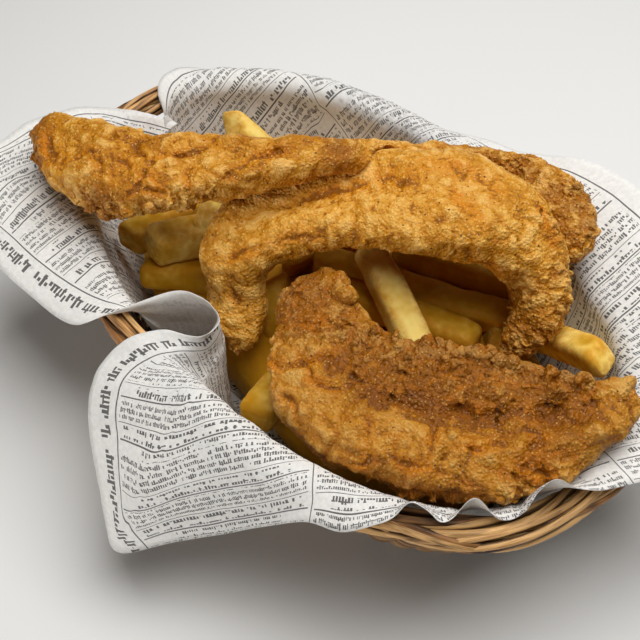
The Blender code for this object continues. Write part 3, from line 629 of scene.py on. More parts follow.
at = np.arange(1, PAPER_DEPTH + 1) / SAMPLE_DEPTH
low = np.minimum(at.astype(int), shifted.shape[1] - 2)
flat = flat + shifted[:, low] + (at - low)[None, :, None] * (shifted[:, low + 1] - shifted[:, low])


def facing_of(grid):
    """Unit vectors across a sheet, on its printed side."""
    along = np.roll(grid, -1, axis=0) - np.roll(grid, 1, axis=0)
    normals = np.cross(along, np.gradient(grid, axis=1))
    return -normals / np.linalg.norm(normals, axis=2, keepdims=True)


facing = facing_of(sheet)
crumpled = np.zeros(sheet.shape[:2])
for i in range(sheet.shape[0]):
    for k in range(sheet.shape[1]):
        for size, height in CRUMPLE:
            where = Vector((flat[i, k, 0] / size, flat[i, k, 1] / size, size))
            crumpled[i, k] += height * (abs(noise.noise(where)) * 2 - 0.4)
# Under the food it lies smoother.
free = np.clip((np.arange(PAPER_DEPTH) / PAPER_DEPTH - 0.45) / 0.2, 0.15, 1)
sheet = sheet + facing * (crumpled * free[None, :])[..., None]
facing = facing_of(sheet)

count, depth = sheet.shape[:2]
points, faces, flat_of = [], [], []
for side in (1, -1):
    first = len(points)
    points.extend((sheet + side * facing * PAPER_THICK / 2).reshape(-1, 3))
    points.append((0, 0, FLOOR_TOP + side * PAPER_THICK / 2))
    flat_of.extend([*flat.reshape(-1, 2), (0, 0)])
    for i in range(count):
        a, b = first + i * depth, first + (i + 1) % count * depth
        quads = [(a, b, len(points) - 1)] + [(a + k, a + k + 1, b + k + 1, b + k) for k in range(depth - 1)]
        faces.extend(face[::side] for face in quads)
# The printed side has the first half of these faces. The rest are the reverse, and then the cut edge.
printed_faces = len(faces) // 2
other = count * depth + 1
for i in range(count):
    a, b = i * depth + depth - 1, (i + 1) % count * depth + depth - 1
    faces.append((a, other + a, other + b, b))


# Newsprint: rows of short dark strokes, like type seen from too far off to read, in blocks of their own row
# pitch with thin rules between. Across is millimetres from the start of the rows, down is across the rows.
newsprint, wanted, given = new_group(
    "newsprint", [("Across", "Float", 0.0), ("Down", "Float", 0.0)], [("Ink", "Float"), ("Rule", "Float")]
)
tree = newsprint


def is_over(tree, value, limit):
    """1 where a value is over a limit, and 0 elsewhere."""
    return arithmetic(tree, "GREATER_THAN", value, limit)


def is_under(tree, value, limit):
    """1 where a value is under a limit, and 0 elsewhere."""
    return arithmetic(tree, "LESS_THAN", value, limit)


def choose(tree, choice, change, value):
    """The value where the choice is 0, and the value with the change added where the choice is 1."""
    return arithmetic(tree, "MULTIPLY_ADD", choice, change, value)


def stroke_rows(tree, across, down, pitch, wide, seed):
    """Mask of rows of type-like strokes: upright stems of several heights, some joined by a short bar."""
    rows, step = arithmetic(tree, "DIVIDE", down, pitch), arithmetic(tree, "DIVIDE", across, wide)
    own = arithmetic(tree, "MULTIPLY_ADD", arithmetic(tree, "FLOOR", rows), 17.31, seed)
    cell = add(tree, "ShaderNodeCombineXYZ", {0: arithmetic(tree, "FLOOR", step), 1: own}).outputs[0]
    drawn = add(tree, "ShaderNodeTexWhiteNoise", {"Vector": cell}).outputs
    one, two, three = add(tree, "ShaderNodeSeparateColor", {0: drawn["Color"]}).outputs[:3]
    within = arithmetic(tree, "FRACT", rows)
    aside = arithmetic(tree, "ABSOLUTE", arithmetic(tree, "SUBTRACT", arithmetic(tree, "FRACT", step), 0.45))
    stem = is_under(tree, aside, arithmetic(tree, "MULTIPLY_ADD", one, 0.2, 0.2))
    # Some stems reach up or down out of the row, and some are short.
    top = choose(tree, is_over(tree, two, 0.72), -0.17, 0.27)
    top = choose(tree, is_under(tree, two, 0.2), 0.2, top)
    foot = choose(tree, is_over(tree, three, 0.86), 0.15, 0.75)
    foot = choose(tree, is_under(tree, three, 0.18), -0.24, foot)
    body = product(tree, is_over(tree, within, top), is_under(tree, within, foot))
    at_bar = choose(tree, is_over(tree, one, 0.5), 0.4, 0.31)
    bar = product(tree, arithmetic(tree, "COMPARE", within, at_bar, 0.06), is_over(tree, three, 0.35))
    struck = largest(tree, product(tree, stem, body), bar)
    # Strokes left out part the words.
    return product(tree, struck, is_over(tree, drawn["Value"], 0.13))


across, down = wanted["Across"], wanted["Down"]
in_column = arithmetic(tree, "FLOOR", arithmetic(tree, "DIVIDE", across, COLUMN_WIDE))
along_column = arithmetic(tree, "FLOORED_MODULO", across, COLUMN_WIDE)
down_column = arithmetic(tree, "MULTIPLY_ADD", in_column, COLUMN_STEP, down)
in_block = arithmetic(tree, "FLOORED_MODULO", down_column, BLOCK_DEEP)
seed = product(tree, arithmetic(tree, "FLOOR", arithmetic(tree, "DIVIDE", down_column, BLOCK_DEEP)), 7.7)
sets = []
for begin, end, pitch, wide, blank in PRINT_ROWS:
    inside = arithmetic(tree, "COMPARE", in_block, (begin + end) / 2, (end - begin) / 2)
    within_column = arithmetic(tree, "COMPARE", along_column, COLUMN_WIDE / 2, COLUMN_WIDE / 2 - blank)
    rows = stroke_rows(tree, across, arithmetic(tree, "SUBTRACT", down_column, begin), pitch, wide, seed)
    sets.append(product(tree, rows, inside, within_column))
tree.links.new(largest(tree, *sets), given["Ink"])
rules = [arithmetic(tree, "COMPARE", in_block, *rule) for rule in PRINT_RULES]
inside = arithmetic(tree, "COMPARE", along_column, COLUMN_WIDE / 2, COLUMN_WIDE / 2 - RULES_STOP)
upright = arithmetic(tree, "COMPARE", along_column, UPRIGHT_RULE, UPRIGHT_RULE)
tree.links.new(largest(tree, product(tree, largest(tree, *rules), inside), upright), given["Rule"])

# Paper fibre: the soft cloudy grain of thin paper.
paper_fibre, wanted, given = new_group(
    "paper fibre", [("White", "Color", PAPER_WHITE)], [("Color", "Color"), ("Height", "Float")]
)
tree = paper_fibre
cloud = cloudy(tree, add(tree, "ShaderNodeTexCoord").outputs["UV"], 55.0, 6.0, 0.65)
brightness = {0: wanted["White"], "Scale": spread(tree, cloud, 0.3, 0.7, 0.9, 1.05)}
tree.links.new(add(tree, "ShaderNodeVectorMath", brightness, operation="SCALE").outputs[0], given["Color"])
tree.links.new(cloud, given["Height"])


def paper_side(name, white, ink_share, show_line):
    """One side of the sheet, with its print at some strength."""
    look = {"Roughness": 0.62, "Specular IOR Level": 0.35, "Subsurface Weight": 0.4}
    finish, tree, shader = surface(
        name, {**look, "Subsurface Scale": 0.0005, "Subsurface Radius": (1.0, 0.95, 0.88)}
    )
    place = add(tree, "ShaderNodeTexCoord").outputs["UV"]
    spot = add(tree, "ShaderNodeSeparateXYZ", {0: place}).outputs
    # The UV map is the flat sheet in decimetres, from its middle.
    down = arithmetic(tree, "MULTIPLY_ADD", spot[0], 100.0, half)
    across = arithmetic(tree, "MULTIPLY_ADD", spot[1], 100.0, half - BAND_LINE)
    news = add(tree, "ShaderNodeGroup", {"Across": across, "Down": down}, node_tree=newsprint).outputs
    from_edge = arithmetic(tree, "ADD", across, BAND_LINE)
    pitch, wide = BAND_TYPE
    band = stroke_rows(tree, down, arithmetic(tree, "SUBTRACT", from_edge, EDGE_BLANK), pitch, wide, 3.0)
    in_band = arithmetic(tree, "COMPARE", from_edge, EDGE_BLANK + pitch / 2, pitch / 2)
    inked = [product(tree, band, in_band)]
    small = largest(tree, news["Ink"], news["Rule"])
    from_far = arithmetic(tree, "SUBTRACT", PAPER_SIZE, from_edge)
    for from_side, (line_at, half_thick, clear) in zip((from_edge, down, from_far), EDGE_LINES):
        line = arithmetic(tree, "COMPARE", from_side, line_at, half_thick)
        inked.append(product(tree, line, show_line))
        small = product(tree, small, is_over(tree, from_side, line_at + clear))
    inked.append(small)
    fibre = add(tree, "ShaderNodeGroup", {"White": white}, node_tree=paper_fibre).outputs
    colour = mixed(tree, product(tree, largest(tree, *inked), ink_share), fibre["Color"], INK)
    tree.links.new(colour, shader.inputs["Base Color"])
    bumped(tree, shader, fibre["Height"], 0.25, 0.0005)
    return finish


paper = made_piece("deli_paper", points, faces, paper_side("paper, printed side", PAPER_WHITE, 0.9, 1.0))
paper.data.materials.append(paper_side("paper, reverse", PAPER_GREY, 0.16, 0.4))
sides = np.arange(len(faces)) >= printed_faces
paper.data.polygons.foreach_set("material_index", sides.astype(np.int32))
flat_map = paper.data.uv_layers.new(name="flat sheet")
corner_points = np.empty(len(paper.data.loops), np.int32)
paper.data.loops.foreach_get("vertex_index", corner_points)
flat_map.data.foreach_set("uv", (np.array(flat_of)[corner_points] / 100).astype(np.float32).ravel())
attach(paper, "root")
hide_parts("liner")

# The fries: thick square-cut potato, fried twice so that the faces stay pale and the long edges and cut ends
# brown. They are tipped in as a loose heap, and the fish lies on them.

FRY = 11.5
# Those that show lie between two points; then come the width, how slanted the first end is cut, and how
# dark it is: partly how far it fried, partly painted shade on the fries lying low in the heap.
SEEN_FRIES = (
    ((-79.5, 15, 65.5), (-66, 32, 38), 10.5, 0.9, 0.1),
    ((-56, -43, 55), (-44, -4, 47), 15, 0.15, 0.3),
    ((-58, -46, 41), (-30, -22, 40), 12, -0.3, 0.8),
    ((-46, -23, 62), (-60, 6, 40), 11, 0.3, 0.2),
    ((-71, -45, 46.5), (-67, -8, 48), 13, 0.3, 0.5),
    ((-16, 3, 48), (38, 31, 43), 12, 0.2, 0.8),
    ((4, 26, 50), (50, 51, 45), 12, -0.2, 0.85),
    ((0, -3, 46), (50, 22, 43), 12, 0.3, 0.75),
    ((5, 9, 67.5), (52, -4, 45), 11.8, 0.1, 0.12),
    ((18, 17, 44), (60, 44.5, 43), 12, 0.3, 0.7),
    ((-24, -6, 44), (-14, 31, 49), 11.5, -0.4, 0.8),
    ((19, -56, 37), (12, -22, 36), 12.5, 0.2, 0.6),
    ((-17, -17, 50), (-3, -25, 34), 11.5, 0.4, 0.7),
    ((61.5, 26.5, 41.5), (45, 39, 36), 11.5, 0.1, 0.5),
    ((91.4, 31.9, 67.5), (55.3, 45.6, 33.4), 10.5, 0.5, 0.3),
)
FRY_ROLL = 25.0
FRY_RINGS = 22
FRY_SIDES = 28
FRY_SQUARE = 4.4
FRY_BOW = 0.03
# The ends are rounded off over a length, by a share of the width, and the sides swell and shrink a little.
END_ROUND = 2.4
END_LOST = 0.34
SWELL = 0.06
# How far from an end a slanted cut fades out, and how slanted the fries deep in the heap are cut.
CUT_FADES = 5
HEAP_SLANT = 0.25
# Size and height of the dents that frying leaves.
DENTS = ((5.5, 0.55), (2.1, 0.22))
HEAP_IN = 7.5
# Height, and how much of the room across the basket the middle of the heap takes there.
HEAP_RINGS = ((6.2, 0.9), (14, 0.97), (30, 0.96), (36, 0.84), (39, 0.5))
HEAP_FRIES = 44
HEAP_TRIES = 1500
HEAP_SIDES = 24
# The fries in the heap get darker tones, from the first to the sum of both: painted shade deep in the heap.
HEAP_TONES = (0.6, 0.4)
HEAP_SPREAD = (80.0, 44.0)
HEAP_HEIGHTS = (38.0, 47.0)
HEAP_HALF_LENGTHS = (20.0, 36.0)
HEAP_SLOPE = 0.24
FRY_CLEAR = 0.4
FRY_SINK = 0.72
POTATO_PALE = (0.95, 0.72, 0.21, 1)
POTATO_GOLD = (0.82, 0.50, 0.07, 1)
POTATO_BROWN = (0.56, 0.25, 0.02, 1)
# The deepest gold, for the darkest tones: partly frying, partly painted shade.
POTATO_DEEP_AND_SHADE = (0.52, 0.25, 0.004, 1)


def fry(start, end, width, roll, tone, seed, slant=HEAP_SLANT, rings=FRY_RINGS, sides=FRY_SIDES):
    """One square-cut fry: points, faces, how close each point is to a fried edge, and the fry's tone."""
    start, end = np.array(start, float), np.array(end, float)
    axis = end - start
    length = np.linalg.norm(axis)
    axis /= length
    side = np.cross(axis, (0, 0, 1))
    side /= np.linalg.norm(side)
    top = np.cross(side, axis)
    side, top = math.cos(roll) * side + math.sin(roll) * top, math.cos(roll) * top - math.sin(roll) * side
    angle = 2 * np.pi * np.arange(sides) / sides
    reach = (np.abs(np.cos(angle)) ** FRY_SQUARE + np.abs(np.sin(angle)) ** FRY_SQUARE) ** (-1 / FRY_SQUARE)
    outline = np.column_stack([reach * np.cos(angle), reach * np.sin(angle)])
    corner = np.clip((reach - 1.03) / 0.2, 0, 1)
    points, edges = [], []
    for i in range(rings + 1):
        part = 0.5 - 0.5 * math.cos(math.pi * i / rings)
        from_end = min(part, 1 - part) * length
        size = width / 2 * (1 - END_LOST * max(0, 1 - from_end / END_ROUND) ** 2)
        wide = 1 - SWELL * 2 / 3 + SWELL * math.cos(3.7 * part + seed)
        tall = 1 - SWELL * 2 / 3 + SWELL * math.cos(4.9 * part + 2.3 * seed)
        bow = FRY_BOW * length * math.sin(math.pi * part)
        at = start + axis * length * part + (top + 0.6 * math.sin(seed) * side) * bow
        cut = slant * math.exp(-part * length / CUT_FADES)
        cut -= 0.3 * math.sin(3.1 * seed) * math.exp((part - 1) * length / CUT_FADES)
        for (u, v), near in zip(outline, corner):
            points.append(at + size * (wide * u * side + tall * v * top) + cut * size * (u + 0.3 * v) * axis)
            edges.append(max(near, max(0, 1 - from_end / 1.8) ** 0.5))
    points = np.array(points)
    for k, where in enumerate(points):
        at = Vector(where) + Vector((seed * 13, 0, 0))
        push = sum(deep * noise.noise(at / dent) for dent, deep in DENTS)
        out = where - (start + axis * np.dot(where - start, axis))
        points[k] += push * out / max(np.linalg.norm(out), 0.1)
    faces = tube_faces(rings + 1, sides)
    for i in (0, rings):
        points = np.vstack([points, points[i * sides:(i + 1) * sides].mean(axis=0)])
        edges.append(0.3)
        for k in range(sides):
            faces.append((i * sides + k, i * sides + (k + 1) % sides, len(points) - 1)[:: 1 if i else -1])
    return points, faces, edges, tone


def search_tree(points, faces):
    """A mesh in the form that finds what it overlaps."""
    return BVHTree.FromPolygons([Vector(p) for p in points], faces)


neighbours = []
for name in ("liner", "fillet_back", "fillet_arch", "fillet_front"):
    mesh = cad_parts[name].data
    places = [v.co / MM for v in mesh.vertices]
    neighbours.append(search_tree(places, [tuple(p.vertices) for p in mesh.polygons]))
draw = random.Random(21)
fries, laid = [], []
for start, end, width, slant, tone in SEEN_FRIES:
    roll = math.radians(draw.uniform(-FRY_ROLL, FRY_ROLL))
    # This draw isn't used. It keeps the draws after it, and so the shape of every fry, as they were.
    draw.random()
    made = fry(start, end, width, roll, tone, draw.uniform(0, 50), slant)
    fries.append(made)
    laid.append(search_tree(*made[:2]))
found = 0
for _ in range(HEAP_TRIES):
    if found == HEAP_FRIES:
        break
    turn, out = draw.uniform(0, 2 * math.pi), math.sqrt(draw.random())
    long, across = (out * room for room in HEAP_SPREAD)
    spot = (long * math.cos(turn), across * math.sin(turn), draw.uniform(*HEAP_HEIGHTS))
    heading, slope = draw.uniform(0, math.pi), draw.uniform(-HEAP_SLOPE, HEAP_SLOPE)
    level = math.cos(slope)
    run = np.array((math.cos(heading) * level, math.sin(heading) * level, math.sin(slope)))
    reach = draw.uniform(*HEAP_HALF_LENGTHS) * run
    width, roll = FRY + draw.uniform(-1.6, 1.6), math.radians(draw.uniform(-FRY_ROLL, FRY_ROLL))
    tone, own = HEAP_TONES[0] + HEAP_TONES[1] * draw.random(), draw.uniform(0, 50)
    # It may not touch the paper or the fish, and only sinks a little into the fries that are there already.
    room = fry(spot - reach, spot + reach, width + 2 * FRY_CLEAR, roll, tone, own, rings=4, sides=8)
    if any(other.overlap(search_tree(*room[:2])) for other in neighbours):
        continue
    core = fry(spot - reach * 0.95, spot + reach * 0.95, width * FRY_SINK, roll, tone, own, rings=4, sides=8)
    if any(other.overlap(search_tree(*core[:2])) for other in laid):
        continue
    made = fry(spot - reach, spot + reach, width, roll, tone, own)
    fries.append(made)
    laid.append(search_tree(*made[:2]))
    found += 1
# The middle of the heap, under the fries that show.
heart = []
for height, part in HEAP_RINGS:
    half_length, half_width = wall_half_sizes(height)
    for bearing in np.arange(HEAP_SIDES) * 360 / HEAP_SIDES:
        near = [row[1] for row in PAPER_ROWS if abs((row[0] - bearing + 180) % 360 - 180) < 15]
        inner = HEAP_IN + max(near) * min(height / BORDER_HEIGHT * 1.3, 1)
        heart.append((*oval(bearing, (half_length - inner) * part, (half_width - inner) * part), height))
heart_faces = tube_faces(len(HEAP_RINGS), HEAP_SIDES)
heart_faces.append(tuple(range(HEAP_SIDES - 1, -1, -1)))
heart_faces.append(tuple(range(len(heart) - HEAP_SIDES, len(heart))))
# The middle of the heap has the darkest tone: painted shade.
fries.append((np.array(heart), heart_faces, [0.6] * len(heart), 1.0))

# Fried skin: patches where the frying went further, and the fine dry grain of the surface.
fried_skin, wanted, given = new_group(
    "fried skin",
    [("Patch Size", "Float", 0.012), ("Grain Size", "Float", 0.0009)],
    [("Patches", "Float"), ("Fine Patches", "Float"), ("Grain", "Float")],
)
tree = fried_skin
place = add(tree, "ShaderNodeTexCoord").outputs["Object"]
# What it gives, the size that it takes, how many turns it has to that size, and its detail.
layers = (
    ("Patches", "Patch Size", 1.0, 2.0), ("Fine Patches", "Patch Size", 4.0, 3.0),
    ("Grain", "Grain Size", 1.0, 3.0),
)
for label, size, turns, detail in layers:
    scale = arithmetic(tree, "DIVIDE", turns, wanted[size])
    tree.links.new(cloudy(tree, place, scale, detail, 0.6), given[label])

potato, tree, shader = surface(
    "fried potato", {"Specular IOR Level": 0.06, "Subsurface Weight": 0.25, "Subsurface Scale": 0.003}
)
skin = add(tree, "ShaderNodeGroup", {"Patch Size": 0.009, "Grain Size": 0.0011}, node_tree=fried_skin).outputs
# A fry's tone paints it a deeper gold: partly its frying, partly painted shade low in the heap.
warmth_and_shade = arithmetic(tree, "MULTIPLY_ADD", kept_value(tree, "tone"), 0.5, product(tree, skin["Patches"], 0.9))
colour = mixed(tree, spread(tree, warmth_and_shade, 0.4, 0.75), POTATO_PALE, POTATO_GOLD)
colour = mixed(tree, spread(tree, warmth_and_shade, 0.5, 0.95, 0.0, 0.95), colour, POTATO_DEEP_AND_SHADE)
browned = spread(tree, skin["Fine Patches"], 0.35, 0.6, 0.35, 1.0)
browned = product(tree, kept_value(tree, "fried edge"), browned, 0.75)
tree.links.new(mixed(tree, browned, colour, POTATO_BROWN), shader.inputs["Base Color"])
tree.links.new(spread(tree, skin["Fine Patches"], 0.3, 0.7, 0.36, 0.56), shader.inputs["Roughness"])
bumped(tree, shader, skin["Grain"], 0.35, 0.0005)
heap = joined_piece("fries_heap", fries, "fried edge", potato)
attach(heap, "root")
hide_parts("fries")

# The back fillet: a long strip of catfish in seasoned batter, fried loose so that it curled. Its thick end
# hangs over the paper at the left, and its thin middle is twisted before it dives behind the arched one.

BATTER_VOXEL = 0.5
ROUGH_VOXEL = 1.1
CRUST_PALE = (0.80, 0.43, 0.085, 1)
# Amber for oil stains, and for the painted glow and painted shade in creases and hollows.
CRUST_AMBER_AND_GLOW = (0.68, 0.235, 0.003, 1)
CRUST_GOLD = (0.62, 0.27, 0.010, 1)
CRUST_BROWN = (0.30, 0.10, 0.003, 1)
# Near black for pores, and for painted shade in the deepest hollows.
CRUST_DEEP_AND_SHADE = (0.14, 0.035, 0.002, 1)
# Cream for painted glints on beads and painted highlights on ridges.
CRUST_CREAM_HIGHLIGHT = (0.92, 0.60, 0.20, 1)
BACK_TINT = (0.93, 0.90, 0.87, 1)
PEPPER = (0.02, 0.01, 0.005, 1)
# Middle line of the strip: x, y, z, then the bearing and tilt of the line across it.
BACK_LINE = (
    (-102, -58, 76, 158, 8), (-95, -53, 79, 151, 7), (-79, -47, 82, 144, 9), (-63, -40, 85, 141, 10),
    (-45, -24, 89, 128, 11), (-25, -6, 94, 119, 9), (-12, 12, 95, 118, 12), (-7, 36, 85, 122, 27),
    (3, 53, 78, 114, 34), (20, 64.5, 76, 113, 26), (39, 66, 77, 115, 12), (53, 63.5, 76, 110, 8),
    (62.5, 59, 73, 95, 8),
)
# Creases: the points each one runs through, then its half width and depth.
BACK_CREASES = (
    (((-101, -52, 88), (-97, -54, 87), (-91, -56, 86), (-84, -59, 84)), 1.7, 1.9),
    (((-70, -33, 94), (-65, -36, 93), (-58, -38, 94), (-54, -37, 95), (-50, -29, 96),
      (-44, -19, 97)), 1.1, 1.7),
    (((-50, -17, 98), (-45, -17, 98), (-41, -17, 98)), 1.0, 1.1),
    (((-30, -24, 96), (-30, -20, 98), (-28, -13, 99), (-26, -8, 99), (-24, -3, 99),
      (-20, 0, 101)), 1.3, 1.9),
    (((-47, -28, 95), (-43, -32, 95), (-39, -33, 94), (-36, -35, 91)), 0.8, 0.9),
    (((-55, -40, 94), (-51, -44, 93), (-48, -47, 89)), 0.9, 0.9),
    (((-66, -47, 94), (-62, -49, 93), (-58, -51, 90)), 0.8, 0.7),
    (((-65, -39, 93), (-63, -43, 93), (-60, -44, 93), (-57, -43, 93), (-54, -41, 94), (-54, -37, 95),
      (-56, -33, 95)), 0.9, 1.4),
    (((-87, -54, 88), (-80, -56, 88), (-75, -50, 93), (-69, -50, 93), (-65, -51, 92), (-60, -51, 92),
      (-56, -52, 89)), 0.9, 1.2),
    (((-53, -52, 86), (-51, -49, 89), (-50, -44, 93), (-49, -41, 94), (-45, -41, 93),
      (-43, -38, 93)), 0.8, 1.1),
    (((-48, -47, 89), (-46, -44, 91), (-43, -42, 90), (-42, -39, 92)), 0.8, 1.1),
)
# Places where the batter is craggy: x, y, z and radius.
BACK_CRAGS = (
    (-66, -59, 82, 8), (-58, -53, 79, 9), (-45, -45, 83, 7), (-39, -39, 85, 6), (-31, -30, 89, 5),
    (-99, -58, 80, 8), (23, 66, 82, 9), (45, 69, 84, 10), (60, 62, 80, 9),
)
# Places painted darker or, below nothing, paler, partly for how they fried and partly as painted shade and
# painted light: x, y, z, radius and how much.
BACK_BROWN_AND_SHADING = (
    (-105, -56, 82, 9, 1.1), (-60, -55, 79, 8, 0.3), (10, 56, 84, 20, 0.2), (48, 66, 82, 22, 0.3),
    (-10, 10, 100, 8, 0.6), (-24, -4, 100, 6, 0.3), (-57, -54, 86, 9, 0.25), (-100, -60, 79, 8, 0.4),
)
# Lumps and drips of batter: x, y, z and radius.
BACK_LUMPS = (
    (-65, -58, 79, 3.2), (-60, -54, 77, 2.9), (-55, -52, 80, 2.4), (-51, -51, 82, 2.2), (-45, -46, 85, 1.9),
    (-70, -59, 80, 2.2), (-40, -40, 88, 1.6),
)
# Crumbs: how many, and the smallest and largest radius.
BACK_CRUMBS = ((40, (0.9, 1.6)), (120, (0.5, 0.95)))
# Places with fine ribs across the strip: x, y, z, radius and height of the ribs.
BACK_RIBBED = (
    (-48, -34, 94, 14, 0.6), (-66, -46, 92, 14, 0.6),
)


def wrinkles(places, seed):
    """Smooth random values between about -1 and 1 at each place, on a lattice of unit cells."""
    turn = np.random.default_rng(seed)
    table = turn.permutation(256)
    leans = turn.normal(size=(256, 3))
    leans /= np.linalg.norm(leans, axis=1, keepdims=True)
    cell = np.floor(places).astype(int)
    inner = places - cell
    ease = inner ** 3 * (inner * (inner * 6 - 15) + 10)
    total = np.zeros(len(places))
    for corner in np.ndindex(2, 2, 2):
        x, y, z = (cell + corner).T & 255
        lean = leans[table[(table[(table[x] + y) & 255] + z) & 255]]
        share = np.prod(np.where(corner, ease, 1 - ease), axis=1)
        total += share * ((inner - corner) * lean).sum(axis=1)
    return total * 1.6


def pebbles(places, seed):
    """Distance from each place to the nearest of points scattered one to a unit cell, and that one's draw."""
    turn = np.random.default_rng(seed)
    table = turn.permutation(256)
    spots = turn.random((256, 4))
    cell = np.floor(places).astype(int)
    nearest, chosen = np.full(len(places), 9.0), np.zeros(len(places))
    for step in np.ndindex(3, 3, 3):
        other = cell + np.array(step) - 1
        x, y, z = other.T & 255
        spot = spots[table[(table[(table[x] + y) & 255] + z) & 255]]
        away = ((other + spot[:, :3] - places) ** 2).sum(axis=1)
        closer = away < nearest
        nearest = np.where(closer, away, nearest)
        chosen = np.where(closer, spot[:, 3], chosen)
    return np.sqrt(nearest), chosen


def near_to(places, spots):
    """How near each place is to any of some round spots, from 0 to 1."""
    found = np.zeros(len(places))
    for x, y, z, radius in spots:
        found = np.maximum(found, np.exp(-(((places - (x, y, z)) ** 2).sum(axis=1)) / radius ** 2))
    return found


def changed(piece, kind, **settings):
    """Applies one modifier to a piece's mesh."""
    change = piece.modifiers.new(kind.lower(), kind)
    for name, value in settings.items():
        setattr(change, name, value)
    graph = bpy.context.evaluated_depsgraph_get()
    done = bpy.data.meshes.new_from_object(piece.evaluated_get(graph))
    piece.modifiers.clear()
    piece.data = done


def mesh_places(mesh):
    """A mesh's points in millimetres and its unit normals."""
    places = np.empty(len(mesh.vertices) * 3, np.float32)
    mesh.vertices.foreach_get("co", places)
    outs = np.empty(len(mesh.vertices) * 3, np.float32)
    mesh.vertex_normals.foreach_get("vector", outs)
    return places.reshape(-1, 3).astype(float) / MM, outs.reshape(-1, 3).astype(float)


def add_balls(piece, balls, roundness):
    """Sinks balls of batter into the crust: the middle of each in metres, its radius and its stretch."""
    crust_mesh = bmesh.new()
    crust_mesh.from_mesh(piece.data)
    for middle, radius, stretch in balls:
        for v in bmesh.ops.create_icosphere(crust_mesh, subdivisions=roundness, radius=radius * MM)["verts"]:
            v.co = Vector(a * b for a, b in zip(v.co, stretch)) + middle
    crust_mesh.to_mesh(piece.data)
    crust_mesh.free()


def add_crumbs(piece, count, sizes, crags, seed):
    """Adds crumbs of batter, most of them where the crust is craggy."""
    draw = random.Random(seed)
    places, outs = mesh_places(piece.data)
    share = 0.015 + near_to(places, crags) ** 2
    crumbs = []
    for k in draw.choices(range(len(places)), weights=share.tolist(), k=count):
        size = draw.uniform(*sizes)
        middle = Vector((places[k] + outs[k] * size * 0.2) * MM)
        crumbs.append((middle, size, [draw.uniform(0.65, 1.4) for _ in range(3)]))
    add_balls(piece, crumbs, 1)


def laid_along(places, line):
    """How far each place is along, across and above a strip's middle line, and the line's points."""
    dense = through(line, 24)
    middle = dense[:, :3]
    run = np.concatenate([[0], np.cumsum(np.linalg.norm(np.diff(middle, axis=0), axis=1))])
    forward = np.gradient(middle, axis=0)
    forward /= np.linalg.norm(forward, axis=1, keepdims=True)
    turn, tilt = np.radians(dense[:, 3]), np.radians(dense[:, 4])
    across = np.stack([np.cos(turn) * np.cos(tilt), np.sin(turn) * np.cos(tilt), np.sin(tilt)], axis=1)
    up = np.cross(forward, across)
    near = ((middle ** 2).sum(axis=1) - 2 * places @ middle.T).argmin(axis=1)
    off = places - middle[near]
    aside, above = (off * across[near]).sum(axis=1), (off * up[near]).sum(axis=1)
    return np.column_stack([run[near], aside, above]), middle


def domed(away, radius):
    """Height of round lumps, from 1 at their middles down to 0 at this distance."""
    return np.clip(1 - (away / radius) ** 2, 0, 1)


def seamed(folds, wide):
    """Soft lines where the folds of the crust meet."""
    return np.clip(1 - folds / wide, 0, 1) ** 1.5


def from_crease(places, path):
    """Squared distance from each place to a crease, and the crease's depth there, less towards its ends."""
    path = through(path, 8)
    nearest, reached = np.full(len(places), 1e9), np.zeros(len(places))
    for k, (start, end) in enumerate(zip(path[:-1], path[1:])):
        step = end - start
        part = np.clip(((places - start) @ step) / (step @ step), 0, 1)
        away = ((places - start - part[:, None] * step) ** 2).sum(axis=1)
        reached = np.where(away < nearest, (k + part) / (len(path) - 1), reached)
        nearest = np.minimum(nearest, away)
    return nearest, np.sqrt(np.clip(np.sin(np.pi * np.clip(reached, 0, 1)), 0, 1))


def ribs(places, laid, middle, ribbed, seed):
    """Fine ribs across a strip, where the flakes of the flesh show through its batter."""
    heading = middle[2 * len(middle) // 3] - middle[len(middle) // 3]
    heading /= np.linalg.norm(heading)
    crosswise = np.column_stack([places @ heading / 1.9, laid[:, 1:] / 11])
    heights = np.max([near_to(places, [spot]) * high for *spot, high in ribbed], axis=0)
    return wrinkles(crosswise, seed) * heights


